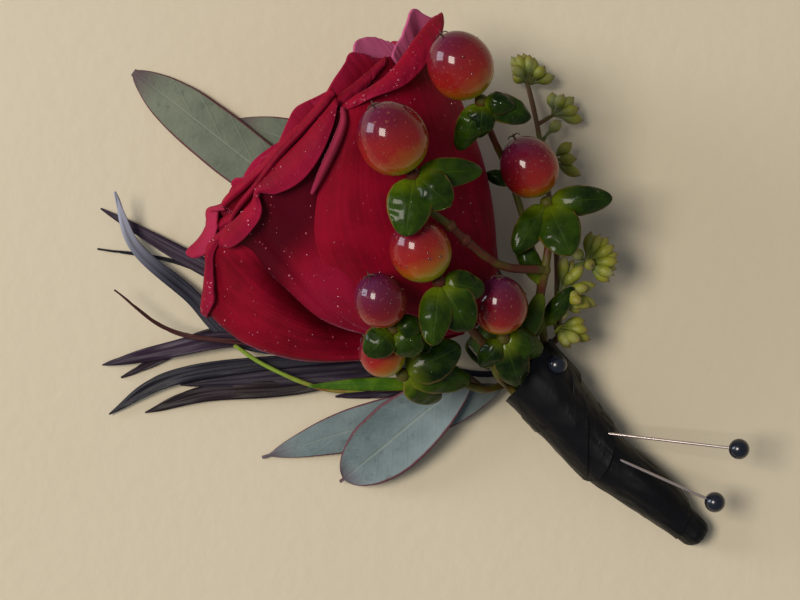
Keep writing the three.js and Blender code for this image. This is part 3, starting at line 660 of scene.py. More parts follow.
FINE_STEPS = 400
BUNDLE_STEPS = 200
BUNDLE_POINTS = [
    (24.1, -12.4, 7.6), (28.1, -16.9, 7.4), (33.9, -23.6, 6.5), (40.4, -30.6, 5.6),
    (46.2, -35.2, 5.1), (50.6, -38.6, 4.6), (54.5, -42.2, 3.6), (60.2, -47.4, 2.5),
]
MOUTH_AT = 6
FLAT_DEPTH = 0.3
HELD_DEPTH = 7
HELD_OUT = 4.5
HELD_RADIUS = 5.2
HELD_INNER_RADIUS = 4.4
ROSE_STEM_RADIUS = 2.3
LEAF_THICKNESS = 0.4


def spaced(points, count):
    """Evenly spaced points of the smooth curve through points."""
    at = through(points)
    fine = [at(i / FINE_STEPS) for i in range(FINE_STEPS + 1)]
    reached = [0]
    for before, after in zip(fine, fine[1:]):
        reached.append(reached[-1] + (after - before).length)
    places = []
    index = 0
    for i in range(count + 1):
        target = reached[-1] * i / count
        while index < len(reached) - 2 and reached[index + 1] < target:
            index += 1
        share = (target - reached[index]) / (reached[index + 1] - reached[index])
        places.append(fine[index].lerp(fine[index + 1], share))
    return places


bundle_line = spaced(BUNDLE_POINTS, BUNDLE_STEPS)
bundle_length = sum((after - before).length for before, after in zip(bundle_line, bundle_line[1:]))


def bundle_middle(distance):
    """The bundle's middle and its way at a distance along it."""
    place = min(max(distance / bundle_length, 0), 0.9999) * BUNDLE_STEPS
    index = int(place)
    way = (bundle_line[min(index + 2, BUNDLE_STEPS)] - bundle_line[max(index - 1, 0)]).normalized()
    return bundle_line[index].lerp(bundle_line[index + 1], place - index), way


def bundle_point(distance, turn, radius):
    """A point of the bundle: a distance inward from the mouth, a turn from the top and a radius."""
    middle, way = bundle_middle(distance + MOUTH_AT)
    right = UP.cross(way).normalized()
    above = way.cross(right)
    turn = math.radians(turn)
    return middle + right * (radius * math.sin(turn)) + above * (radius * math.cos(turn))


def held_end(turn, depth=HELD_DEPTH):
    """The held end of a stem, from its cut inside the ribbon out to a little beyond the mouth."""
    return [
        bundle_point(depth, turn, HELD_INNER_RADIUS),
        bundle_point(depth / 2, turn, (HELD_INNER_RADIUS + HELD_RADIUS) / 2),
        bundle_point(0, turn, HELD_RADIUS),
        bundle_point(-HELD_OUT, turn, HELD_RADIUS + 0.1),
    ]


def stem(mesh, points, start, end, steps=48, sides=12):
    """Adds a stem: a round tube between two radii, with the slight knots and bends of a grown one."""
    line = spaced(points, steps)
    ways = [(after - before).normalized() for before, after in zip(line, line[1:])]
    ways.append(ways[-1])
    side = ways[0].orthogonal().normalized()
    rings = []
    for centre, way in zip(line, ways):
        side = (side - way * side.dot(way)).normalized()
        rings.append((centre, side, way.cross(side)))

    def skin(u, v):
        centre, right, above = rings[round(v * steps)]
        turn = math.pi * u
        radius = start + (end - start) * v
        around = right * math.cos(turn) + above * math.sin(turn)
        radius *= 1 + 0.12 * noise(centre * 0.35) + 0.05 * noise(centre * 1.3 + around)
        return centre + around * radius

    sheet(mesh, skin, sides, steps)


def stem_bark(name, low, high, blush):
    """A stem's bark: fine fibres along it, with patches of a blush."""
    finish = Finish(name, roughness=0.42, specular_ior_level=0.2)
    place = finish.place()
    across, along = finish.uv()
    fibres = finish.noise(finish.vector(across * 16, along * 6, finish.tone() * 5), 1, 4, 0.6)
    patches = finish.noise(place, 90, 3, 0.6)
    colour = finish.mix(fibres, low, high)
    finish.set("Base Color", finish.mix(patches.step(0.4, 0.6), colour, blush))
    finish.bump(fibres * 0.7 + finish.noise(place, 1800, 2, 0.6) * 0.3, 0.00018)
    return finish.material


def leaf_green(name, low, high, edge, gloss):
    """A hypericum leaf: a pale midrib, sunken side veins and a thin coloured edge under a wet gloss."""
    finish = Finish(name, specular_ior_level=0.06, coat_weight=gloss, coat_roughness=0.12)
    place = finish.place()
    across, along = finish.uv()
    from_rib = abs(across - 0.5) * 2
    blotch = finish.noise(place, 260, 4, 0.6)
    veins = ((along * 7 - from_rib * 2.2) * 2 * math.pi).wave()
    vein = veins.step(0.8, 1) * from_rib.step(0.02, 0.12)
    rib = 1 - from_rib.step(0.02, 0.07)
    colour = finish.mix((blotch + finish.tone() * 0.3).step(0.35, 0.95), low, high)
    colour = finish.mix((rib * 0.2 + vein * 0.04) * (1 - along * 0.6), colour, (0.08, 0.15, 0.01))
    young = (1 - along.step(0, 0.45)) * (0.35 + blotch * 0.5)
    colour = finish.mix(young, colour, (0.16, 0.21, 0.006))
    ragged = finish.noise(finish.vector(0, along * 8, finish.tone() * 7), 1, 2) * 0.12
    rim = (from_rib + ragged).step(0.94, 1.06)
    finish.set("Base Color", finish.mix(rim * 0.6, colour, edge))
    finish.set("Roughness", 0.34 + blotch * 0.2)
    finish.bump(blotch * 0.6 - vein * 0.05 - rib * 0.1 + finish.noise(place, 1300, 2) * 0.2, 0.0005)
    return finish.material


def make_spray(names, stalk, leaves, finishes, slot, node, thickness=LEAF_THICKNESS):
    """Makes a stem and its leaves two pieces, which stand for one CAD node."""
    join_seams(stalk)
    make_piece(names[0], stalk, finishes[0], slot, node)
    make_piece(names[1], leaves, finishes[1], slot, node, thickness=thickness)


rose_bark = stem_bark("rose_stem_bark", (0.035, 0.075, 0.012), (0.09, 0.15, 0.03), (0.12, 0.06, 0.03))


def outline_through(points):
    """The outline of a turned shape through points of its radius and height."""
    line = through([(*point, 0) for point in points])

    def at(share):
        point = line(share)
        return max(point.x, 0), point.y

    return at


rose_stalk = new_mesh()
hip_outline = outline_through([(0, -9), (2.1, -9), (2.6, -6.5), (4.2, -3.8), (4.2, -2), (0, -1.5)])
lathe(rose_stalk, hip_outline, 24, 20, ROSE_BASE, ROSE_ALONG)
rose_route = [rose_point(-8, 0, 0), bundle_point(-3, 0, 0.5)]
rose_route += [bundle_point(distance, 0, 0) for distance in (2, 12, 22, 30)]
stem(rose_stalk, rose_route, ROSE_STEM_RADIUS, ROSE_STEM_RADIUS - 0.5, sides=16)
SEPAL_TURNS = (36, 108, 180, -108, -36)
SEPAL_LINE = ((-2, 3.8), (-3, 5.2), (-6, 5.4), (-9, 4.6))
SEPAL_HALF = 1.4
sepals = new_mesh()
for turn in SEPAL_TURNS:
    points = [rose_point(height, radius, turn) for height, radius in SEPAL_LINE]
    leaf(sepals, points, SEPAL_HALF, (8, 20), camber=0.3, facing=rose_point(0, 1, turn) - ROSE_BASE)
sepal_green = leaf_green("sepal_green", (0.02, 0.06, 0.01), (0.06, 0.13, 0.02), (0.1, 0.08, 0.02), 0.2)
rose_finishes = (rose_bark, sepal_green)
make_spray(("rose_stalk", "rose_sepals"), rose_stalk, sepals, rose_finishes, "rose_stem", "rose_stem")

# Hypericum berries: egg-shaped, glossy, dark red at the top and orange to yellow-green at the base.
# Each has three faint seams and the dried remnant of its flower at the top, and stands on its calyx.
# Each row gives a berry's middle and radius, a point below it and how ripe it is.

BERRY_STRETCH = 1.1
CALYX_RADIUS = 1.3
CALYX_GAP = 0.4
STYLE_TURNS = (0.4, 2.5, 4.6)
STYLE_BENDS = ((0.8, 0.1), (1.1, 0.9), (0.7, 1.4))
BERRIES = {
    "a": ((10.8, 42.2, 42.5), 5.9, (14.5, 36.6, 39), 0.55),
    "b": ((-1.4, 28.5, 51), 6.2, (2.1, 22.7, 47), 0.5),
    "c": ((24.3, 25.1, 24), 5.5, (27.1, 19.7, 22.5), 0.85),
    "d": ((3.6, 9, 41.5), 5.5, (6.7, 4, 38), 0.2),
    "e": ((-3.6, 0, 39.5), 4.8, (-1.5, -4.6, 36), 1),
    "f": ((18.7, -0.9, 27.5), 5.2, (19.4, -6.6, 24), 0.8),
    "g": ((-3.4, -10, 29.7), 4.2, (0, -13.5, 27), 0.3),
}


def berry_skin():
    finish = Finish("berry_skin", specular_ior_level=0.05, coat_weight=0.6, coat_roughness=0.06)
    place = finish.place()
    along = finish.uv()[1]
    blotch = finish.noise(place, 130, 4, 0.6)
    height = along + (blotch - 0.5) * 0.3 + (finish.tone() - 0.5) * 0.3
    colour = finish.ramp(
        height,
        (0.0, (0.14, 0.19, 0.006)),
        (0.22, (0.26, 0.22, 0.007)),
        (0.36, (0.32, 0.085, 0.005)),
        (0.5, (0.26, 0.012, 0.008)),
        (0.74, (0.13, 0.005, 0.015)),
        (1.0, (0.085, 0.01, 0.04)),
    )
    speck = finish.noise(place, 1500, 2, 0.5).step(0.62, 0.72)
    finish.set("Base Color", finish.mix(speck * 0.25, colour, (0.45, 0.2, 0.1)))
    finish.set("Roughness", 0.18 + blotch * 0.16)
    finish.bump(blotch * 0.6 + finish.noise(place, 900, 2) * 0.2, 0.00025)
    return finish.material


def remnant_brown():
    finish = Finish("remnant_brown", roughness=0.7)
    grain = finish.noise(finish.place(), 1400, 3)
    finish.set("Base Color", finish.mix(grain, (0.02, 0.008, 0.006), (0.09, 0.04, 0.02)))
    finish.bump(grain, 0.0002)
    return finish.material


red_skin = berry_skin()
dried = remnant_brown()
calyx_places = {}
berry_facts = {}
for letter, (middle, radius, below, ripeness) in BERRIES.items():
    middle = Vector(middle)
    way = (middle - Vector(below)).normalized()
    reach = radius * BERRY_STRETCH
    calyx_places[letter] = middle - way * (reach + CALYX_RADIUS + CALYX_GAP)
    berry_facts[letter] = (middle, radius, way)
    turning = way.to_track_quat("Z", "Y")

    def skin(u, v):
        angle = math.pi * v
        turn = math.pi * u
        seam = math.exp(-((math.sin(1.5 * turn) / 0.12) ** 2))
        width = radius * math.sin(angle) * (1 + 0.05 * math.cos(angle)) * (1 - 0.012 * seam)
        height = -reach * math.cos(angle)
        return middle + turning @ Vector((width * math.cos(turn), width * math.sin(turn), height))

    body = new_mesh()
    sheet(body, skin, 60, 36, ripeness)
    join_seams(body)
    make_piece(f"berry_{letter}", body, red_skin, "hypericum_berries", f"hypericum_berry_{letter}")
    top = middle + way * (reach - 0.25)
    styles = new_mesh()
    for turn in STYLE_TURNS:
        lean = turning @ Vector((math.cos(turn), math.sin(turn), 0))
        points = [top, *(top + way * up + lean * out for up, out in STYLE_BENDS)]
        stem(styles, points, 0.2, 0.09, 12, 6)
    join_seams(styles)
    make_piece(f"berry_tip_{letter}", styles, dried, "hypericum_berries", f"hypericum_berry_{letter}")

# Hypericum sprigs: three, each a stem that branches to its berries, with leaves spread under each berry.
# The leaves are glossy green with a thin yellow to red edge, and the stems are green turning red-brown.
# Each tip is a leaf's end, with its half width after it.

sprig_bark = stem_bark("sprig_bark", (0.045, 0.055, 0.006), (0.11, 0.1, 0.012), (0.085, 0.018, 0.01))
sprig_green = leaf_green(
    "sprig_leaf_green", (0.002, 0.009, 0.0001), (0.024, 0.054, 0.0004), (0.2, 0.12, 0.02), 0.22
)
KNOT_RADIUS = 1.15
SMALL_LEAF_SEED = 61
leaf_sheets = []


def calyx(stems, leaves, letter, *tips):
    """The green cup under a berry, with its leaves."""
    start = calyx_places[letter]
    lathe(stems, ball(CALYX_RADIUS), 16, 10, start, UP)
    for number, (*tip, half) in enumerate(tips):
        tip = Vector(tip)
        points = [start.lerp(tip, 0.9 / (tip - start).length), start.lerp(tip, 0.5) + UP * 0.8, tip]
        seed = number + 5 * ord(letter)
        tone = random.Random(seed).random()
        leaf_sheets.append(leaf(
            leaves, points, half, (18, 34), tone,
            wide=0.88, blunt=0.52, camber=1.2, tip=0.12, ripple=0.7, groove=0.06, seed=seed,
        ))


def make_sprig(place, stems, leaves):
    names = (f"sprig_{place}_stems", f"sprig_{place}_leaves")
    finishes = (sprig_bark, sprig_green)
    make_spray(names, stems, leaves, finishes, "hypericum_leaves", f"hypericum_sprig_{place}")


stems, leaves = new_mesh(), new_mesh()
fork = (27.5, 5.7, 22)
stem(stems, [*held_end(108), (27.8, -6.8, 12.5), (26.7, 0, 19), fork], 0.75, 0.85)
to_b = [fork, (18.5, 6.5, 31), (11.9, 11, 36.5), (9.1, 13.4, 39.5), (4.5, 17, 44)]
stem(stems, [*to_b, calyx_places["b"]], 0.85, 0.7)
to_a = [(27, 2, 20), (25.2, 10, 18.5), (21.3, 23, 17.8), (17.2, 30.5, 29), (15.4, 34, 36)]
stem(stems, [*to_a, calyx_places["a"]], 0.7, 0.6)
stem(stems, [fork, (28.3, 12.3, 22), calyx_places["c"]], 0.85, 0.8, 24)
calyx(
    stems, leaves, "a",
    (14.6, 29.8, 37, 2.6), (23.7, 33.2, 37, 2.6), (10.7, 27.6, 36, 2.4), (20.5, 35, 40, 2),
)
calyx(stems, leaves, "b", (0.9, 11.4, 49, 4), (8.9, 16.7, 48, 3.6), (14.6, 23.2, 44, 2.6))
calyx(stems, leaves, "c", (21.6, 9, 25, 2.8), (31.9, 8.4, 26, 4.2), (40, 19.2, 23, 2.8))
small_leaves = (
    ((27, 3, 20.8), (21.8, 12.6, 21), 1.9), ((27, 1.6, 20.2), (23.4, -9, 19.5), 1.7),
    ((21.5, 22.6, 18), (16.4, 24, 19.5), 1.4), ((27.5, -5, 14.5), (33.2, 2.4, 17), 1.8),
    ((27.4, -3, 16), (21.6, -8.6, 14), 2.2),
)
for seed, (start, tip, half) in enumerate(small_leaves, SMALL_LEAF_SEED):
    start, tip = Vector(start), Vector(tip)
    leaf(
        leaves, [start, start.lerp(tip, 0.5) + UP, tip], half, (14, 30), random.Random(seed).random(),
        wide=0.95, blunt=0.6, camber=0.8, tip=0.1, ripple=0.5, seed=seed,
    )
for knot in (to_b[2], to_b[3], fork):
    lathe(stems, ball(KNOT_RADIUS), 12, 8, Vector(knot), UP)
make_sprig("upper", stems, leaves)

stems, leaves = new_mesh(), new_mesh()
fork = (17.2, -9.6, 21)
stem(stems, [*held_end(-76, 5), (18.8, -14.4, 16.5), fork], 0.7, 0.85)
stem(stems, [fork, (13.4, -5.6, 26), (10.2, -1.9, 30.5), calyx_places["d"]], 0.85, 0.75)
stem(stems, [fork, (18.4, -8.6, 22), calyx_places["f"]], 0.8, 0.7, 16)
calyx(stems, leaves, "d", (5.8, -8.2, 38.5, 3), (12.7, -5.5, 36, 4), (15.4, 1.8, 35, 2.8))
calyx(stems, leaves, "f", (27, -9.8, 19, 2.8), (22.8, -16.2, 18, 3.4), (15.3, -12.4, 21, 2.4))
make_sprig("middle", stems, leaves)

stems, leaves = new_mesh(), new_mesh()
fork = (5.6, -13, 21.5)
stem(stems, [*held_end(-102), (16.6, -17.4, 11.5), (10.6, -15.4, 16), fork], 0.7, 0.8)
stem(stems, [fork, (2.6, -10.4, 28), calyx_places["e"]], 0.75, 0.65, 20)
stem(stems, [fork, (3.4, -13.6, 24), calyx_places["g"]], 0.7, 0.65, 16)
calyx(stems, leaves, "e", (-6, -10, 35.5, 3), (3.7, -9.5, 34, 3.2), (3.8, -4.4, 35.8, 2.2))
calyx(stems, leaves, "g", (11.2, -8.8, 26, 4), (13.3, -15.2, 20, 3), (7.6, -18.8, 19, 3.2))
make_sprig("lower", stems, leaves)

# Seeded eucalyptus: one thin twig with heads of club-shaped buds on short stalks.
# The buds are powdery yellow-green with a pointed cap and a brown tip.
# Each head has its middle and the tips of its buds, and more buds stand between those.

BUD_RADIUS = 1.15
HEADS = [
    ((35.8, 7.2, 14), (
        (36.9, 13.3, 15), (40.4, 12.2, 14), (42.3, 8.9, 14), (42, 6, 13.5), (40.6, 3.5, 14), (33.4, 9.7, 16),
    )),
    ((30.9, 1.5, 14), (
        (35.4, 6.8, 15.5), (31.7, 8.9, 15.5), (36.3, 2.5, 16.5), (34.2, 0.6, 18), (35.2, -1.6, 15),
        (38.3, -1.2, 13), (31.5, -3.9, 16), (38, 3, 14),
    )),
    ((30.4, -5.3, 11), (
        (36, -3.9, 12), (37.2, -7.8, 11), (32.5, -8.4, 13), (33.4, -9.4, 9.5), (28.8, -2.6, 14.5),
    )),
    ((25.7, 42.8, 3.6), (
        (22.2, 44.6, 4.4), (22, 48.3, 4), (24.5, 49.1, 3), (26.6, 48, 4.6), (30.7, 44.4, 4),
    )),
    ((30.3, 36.6, 4), ((30.1, 41.2, 4.6), (34.5, 40.2, 4.6), (36.4, 35.6, 4))),
    ((28.7, 32.3, 4.6), ((31.7, 35.4, 6),)),
    ((29.8, 27.7, 5), ((34, 31.1, 5.6), (35.8, 24.5, 4.8))),
]


def bud_skin():
    finish = Finish("bud_skin", specular_ior_level=0.35)
    place = finish.place()
    along = finish.uv()[1]
    mottle = finish.noise(place, 700, 3, 0.6)
    colour = finish.ramp(
        along + (mottle - 0.5) * 0.12,
        (0.0, (0.09, 0.08, 0.03)),
        (0.35, (0.13, 0.16, 0.02)),
        (0.6, (0.25, 0.26, 0.02)),
        (0.82, (0.24, 0.2, 0.03)),
        (0.95, (0.1, 0.045, 0.02)),
    )
    dust = finish.noise(place, 300, 3, 0.6).step(0.45, 0.75)
    finish.set("Base Color", finish.mix(dust * (0.2 + finish.tone() * 0.35), colour, (0.24, 0.29, 0.2)))
    finish.set("Roughness", 0.45 + dust * 0.3)
    finish.bump(mottle, 0.0002)
    return finish.material


def bud_outline(length):
    """A bud's radius and height: a thin stalk, a club and a pointed cap."""
    return outline_through([
        (0, 0), (0.28, length * 0.03), (0.32, length * 0.28), (BUD_RADIUS * 0.72, length * 0.42),
        (BUD_RADIUS, length * 0.58), (BUD_RADIUS * 0.98, length * 0.72), (BUD_RADIUS * 0.7, length * 0.86),
        (BUD_RADIUS * 0.22, length * 0.95), (0, length),
    ])


twig, buds = new_mesh(), new_mesh()
low, middle = (31.3, -7, 6), (31, 0, 10)
stem(
    twig,
    [
        *held_end(136), low, (31, -2, 6.8), (30.8, 9.8, 6.5),
        (28.6, 25.6, 5.4), (26.6, 37.2, 4.4), (24, 47.6, 3.2),
    ],
    0.7, 0.45, 60,
)
stem(twig, [low, middle, (32.2, 5.4, 13), HEADS[0][0]], 0.6, 0.5, 30)
stem(twig, [middle, HEADS[1][0]], 0.5, 0.45, 8)
stem(twig, [low, HEADS[2][0]], 0.5, 0.45, 8)
for start, number in (((27, 34.6, 4.7), 4), ((27.6, 30.5, 5), 5), ((28.5, 26, 5.3), 6)):
    stem(twig, [start, HEADS[number][0]], 0.45, 0.4, 8)
chance = random.Random(5)
for start, tips in HEADS:
    lower = [Vector(tip).lerp(Vector(other), 0.5) for tip, other in zip(tips, tips[1:])]
    lower = [tip + Vector((0, 0, chance.uniform(-2, 2.5) if start[2] > 8 else 1.2)) for tip in lower]
    for tip in [*tips, *lower]:
        way = Vector(tip) - Vector(start)
        lathe(buds, bud_outline(way.length), 14, 20, Vector(start), way.normalized(), chance.random())
join_seams(twig)
join_seams(buds)
twig_bark = stem_bark("twig_bark", (0.05, 0.09, 0.015), (0.12, 0.18, 0.03), (0.12, 0.06, 0.025))
make_piece("eucalyptus_twig", twig, twig_bark, "eucalyptus_seeds", "eucalyptus_seeds")
make_piece("eucalyptus_buds", buds, bud_skin(), "eucalyptus_seeds", "eucalyptus_seeds")

# Gum leaves: a pair behind the rose and a pair in front, each pair on one cut twig.
# They are matte grey-green with a pale midrib, faint side veins, darker spots and a thin dark red margin.
# The ends turn purple.


def gum_skin(name, low, high):
    finish = Finish(name, specular_ior_level=0.3, sheen_weight=0.05)
    place = finish.place()
    across, along = finish.uv()
    from_rib = abs(across - 0.5) * 2
    cloud = finish.noise(place, 90, 4, 0.6)
    colour = finish.mix(cloud.step(0.3, 0.75), low, high)
    spot = finish.noise(place, 380, 3, 0.6).step(0.6, 0.72)
    colour = finish.mix(spot * 0.45, colour, (0.05, 0.06, 0.05))
    veins = ((along * 9 - from_rib * 1.4) * 2 * math.pi).wave()
    vein = veins.step(0.9, 1) * from_rib.step(0.04, 0.2)
    rib = 1 - from_rib.step(0.01, 0.055)
    colour = finish.mix(rib * 0.35 + vein * 0.05, colour, (0.24, 0.26, 0.2))
    colour = finish.mix((1 - along.step(0, 0.3)) * 0.5, colour, (0.07, 0.06, 0.035))
    tip = (along + (cloud - 0.5) * 0.1).step(0.84, 1)
    colour = finish.mix(tip * 0.75, colour, (0.08, 0.03, 0.05))
    ragged = finish.noise(finish.vector(0, along * 14, finish.tone() * 7), 1, 2) * 0.06
    margin = (from_rib + ragged).step(0.93, 1.0)
    finish.set("Base Color", finish.mix(margin * 0.9, colour, (0.1, 0.01, 0.022)))
    finish.set("Roughness", 0.5 + cloud * 0.2)
    finish.bump(cloud * 0.5 - rib * 0.12 + vein * 0.06 + finish.noise(place, 1200, 3) * 0.2, 0.0004)
    return finish.material


GUM_THICKNESS = 0.45


def make_gum(place, twig, leaves, skin):
    names = (f"gum_{place}_twig", f"gum_{place}_leaves")
    make_spray(names, twig, leaves, (rose_bark, skin), "gum_leaves", f"gum_leaves_{place}", GUM_THICKNESS)


twig, leaves = new_mesh(), new_mesh()
stem(twig, [*held_end(163), (20, -8.2, 1.7), (12, -5, 1.9)], 0.7, 0.55)
stem(twig, [(24.4, -10.6, 1.9), (21.5, 2, 1.5), (12, 15, 1.1), (4, 22.5, 0.9)], 0.55, 0.45)
long_spine = [(13, -6, 1.9), (-6, 9.5, 1.6), (-30, 27.4, 1.4), (-44, 38.4, 0.8), (-53.3, 45.5, 0.35)]
leaf(leaves, long_spine, 5.6, (24, 90), 0.2, wide=1.2, blunt=0.6, camber=0.3, tip=0.7, seed=1)
short_spine = [(5, 22.2, 0.9), (-14, 29, 0.35), (-33, 35.8, 0.35)]
leaf(leaves, short_spine, 5, (24, 60), 0.8, wide=1.1, camber=0.25, tip=0.5, ripple=0.1, seed=2)
gum_grey = gum_skin("gum_leaf_grey", (0.09, 0.11, 0.075), (0.16, 0.18, 0.12))
make_gum("back", twig, leaves, gum_grey)

twig, leaves = new_mesh(), new_mesh()
stem(twig, [*held_end(-128), (17.4, -17.6, 6.5), (13, -14.8, 8)], 0.7, 0.6)
spoon_spine = [(14, -15.4, 8), (5, -22, 7), (-4, -29.6, 4.8), (-11.9, -36.2, 2)]
leaf(leaves, spoon_spine, 6.7, (26, 70), 0.4, wide=1.25, blunt=0.5, camber=-0.8, nib=0.03, seed=3)
low_spine = [(20.6, -16.9, 5), (8, -21.6, 3.6), (-10, -26, 1.8), (-27.5, -31.5, 0.35)]
leaf(leaves, low_spine, 4.7, (24, 70), 0.6, wide=1.05, camber=0.5, nib=0.03, ripple=0.1, seed=4)
gum_blue = gum_skin("gum_leaf_blue", (0.09, 0.13, 0.13), (0.17, 0.22, 0.22))
make_gum("front", twig, leaves, gum_blue)

# Willow foliage: narrow dark blades from one twig under the rose, purple-brown to black with a satin sheen.
# Each blade is folded a little along its middle.
# Each row gives a blade's tone from blue-black to red-brown, its half width and the points along it.

BLADE_THICKNESS = 0.25
WILLOW_BLADES = [
    (0.6, 1.9, (-2, -11.8, 2.3), (-20, -2.5, 2.4), (-39.8, 7, 2), (-59.7, 18.3, 0.8)),
    (0, 1.5, (-3, -11.6, 2.4), (-32.8, -7.9, 2.6), (-41.7, 1, 2.8), (-52.6, 10.9, 4), (-56.1, 21.3, 7)),
    (0.3, 0.3, (-22, -3, 2.2), (-44.8, 7.6, 1), (-60.4, 10.2, 0.8)),
    (1, 0.45, (-6, -10.9, 2.4), (-19.8, -8.5, 4.6), (-33.6, -8.1, 6.6), (-45.4, -5.9, 6.4), (-56.2, 2, 7)),
    (0.62, 1.7, (-5, -11, 2.4), (-33.8, -7.8, 3.2), (-47.6, -10.3, 2.5), (-59.3, -13, 1.4)),
    (0.7, 1.5, (-24, -9, 2.7), (-36.6, -7, 1.6), (-55.7, -15.5, 0.7)),
    (0.28, 1.6, (-4, -11.4, 2.4), (-29.8, -12.9, 2.5), (-47.6, -16.3, 2), (-58, -22.8, 1)),
    (0.8, 1.7, (0, -12.6, 2.2), (-19.9, -17.2, 1.6), (-39.9, -18.9, 1.2), (-50.9, -22.5, 0.5)),
    (0.45, 1.9, (4, -12.9, 2.3), (-14, -14.6, 2), (-43.8, -16.9, 1.2)),
    (0.8, 1, (-24, -8.6, 2.7), (-31.8, -6, 2.2), (-39.2, -3.6, 2)),
    (0.55, 1.3, (6, -13.2, 2), (0, -17.4, 1.2), (-12.9, -19.3, 0.8)),
]


def willow_satin():
    finish = Finish("willow_satin", specular_ior_level=0.18)
    place = finish.place()
    across, along = finish.uv()
    tone = finish.tone()
    streaks = finish.noise(finish.vector(across * 7, along * 2.5, tone * 11), 1, 3, 0.6)
    colour = finish.ramp(
        tone + (finish.noise(place, 60, 2) - 0.5) * 0.35,
        (0.0, (0.02, 0.02, 0.033)),
        (0.3, (0.013, 0.012, 0.018)),
        (0.6, (0.036, 0.02, 0.04)),
        (0.8, (0.016, 0.009, 0.009)),
        (1.0, (0.06, 0.018, 0.016)),
    )
    colour = finish.mix(streaks.step(0.3, 0.8) * 0.4, colour, (0.006, 0.004, 0.006))
    pale = (1 - tone.step(0.02, 0.08)) * along.step(0.55, 0.95)
    finish.set("Base Color", finish.mix(pale * 0.85, colour, (0.4, 0.41, 0.5)))
    finish.set("Roughness", 0.3 + streaks * 0.25)
    finish.bump(streaks + finish.noise(place, 1500, 2) * 0.3, 0.00007)
    return finish.material


twig, blades = new_mesh(), new_mesh()
stem(twig, [*held_end(-174), (17, -14.8, 1.8), (8, -13.4, 2.2), (-6, -11, 2.4)], 0.7, 0.6)
for number, (tone, half, *points) in enumerate(WILLOW_BLADES):
    leaf(
        blades, points, half, (8, 70), tone,
        wide=1, camber=0, tip=0.08, ripple=0.7, groove=min(half, 1) * 0.3, seed=number,
    )
names, node = ("willow_twig", "willow_blades"), "willow_foliage"
make_spray(names, twig, blades, [willow_satin()] * 2, node, node, BLADE_THICKNESS)

# Green shoot: one thin curved stem among the dark foliage, with a leafy stretch near its middle.
# It is fresh yellow-green with a brown-red blush.

shoot_stem, shoot_leaf = new_mesh(), new_mesh()
route = [
    *held_end(-152), (18, -18, 2), (9, -17, 2.7), (-2, -17, 5),
    (-13.8, -17.8, 5), (-26.7, -12.9, 4.6), (-32.8, -8.9, 4.8),
]
stem(shoot_stem, route, 0.6, 0.4, 60)
leafy_stretch = [(5, -17, 4.2), (-4, -16.6, 5.6), (-18, -17, 5.4)]
leaf(shoot_leaf, leafy_stretch, 1.3, (8, 40), wide=0.9, camber=0.3, seed=7)
shoot_bark = stem_bark("shoot_bark", (0.14, 0.24, 0.02), (0.26, 0.36, 0.04), (0.2, 0.08, 0.02))
shoot_green = leaf_green("shoot_leaf_green", (0.03, 0.09, 0.004), (0.13, 0.24, 0.012), (0.2, 0.06, 0.02), 0.2)
names, node = ("shoot_stem", "shoot_leaf"), "green_shoot"
make_spray(names, shoot_stem, shoot_leaf, (shoot_bark, shoot_green), node, node)

# Ribbon: black satin wound round the stems in overlapping slanted turns, folded closed at the tip.
# Each turn lies over the next one, and its edge nearer the tip stands out by the ribbon's thickness.
# The mouth is cut on a slant, a pearl head presses a hollow into it there, and the underside is flat.

RIBBON_WALL = 0.4
RIBBON_STEP = 0.5
RIBBON_SINK = 0.35
RIBBON_SQUASH = 0.5
# Each edge has its distance along the bundle, and how much farther it reaches on the right and on top.
SLEEVE_MOUTH = (4.6, 1.2, -1.5)
SLEEVE_END = (12, 0, 0)
FRONT_MOUTH = (4.5, -4, -4.6)
RIBBON_LAPS = [(16.3, -8, 2), (21.9, -2.6, 3.1), (44.6, -1.8, 0.5)]
RIBBON_END = (50, 0, 0)
LAP_UNDER = 4
HOLLOW_AT = 9.6
HOLLOW_TURN = math.radians(52)
HOLLOW_DEPTH = 1.3
HOLLOW_LENGTH = 3.2
HOLLOW_WIDTH = 0.33
GATHERS_TURN = math.radians(10)
GATHERS_WIDTH = 0.35
GATHERS_DEPTH = 0.07
TIP_ROUNDING = 2.4


def bundle_radius(distance):
    """The bundle's radius, which would reach a little below the table if its underside weren't flat."""
    return bundle_middle(distance)[0].z + FLAT_DEPTH


def ribbon_black():
    finish = Finish("ribbon_black", specular_ior_level=0.2)
    place = finish.place()
    across, along = finish.uv()
    threads = finish.noise(finish.vector(across * 12, along * 260, 0), 1, 2)
    cloud = finish.noise(place, 160, 3)
    finish.set("Base Color", finish.mix(cloud, (0.0012, 0.0012, 0.0016), (0.003, 0.003, 0.0045)))
    finish.set("Roughness", 0.34 + cloud * 0.16 + threads * 0.05)
    finish.bump(threads * 0.4 + cloud * 0.5, 0.0001)
    return finish.material


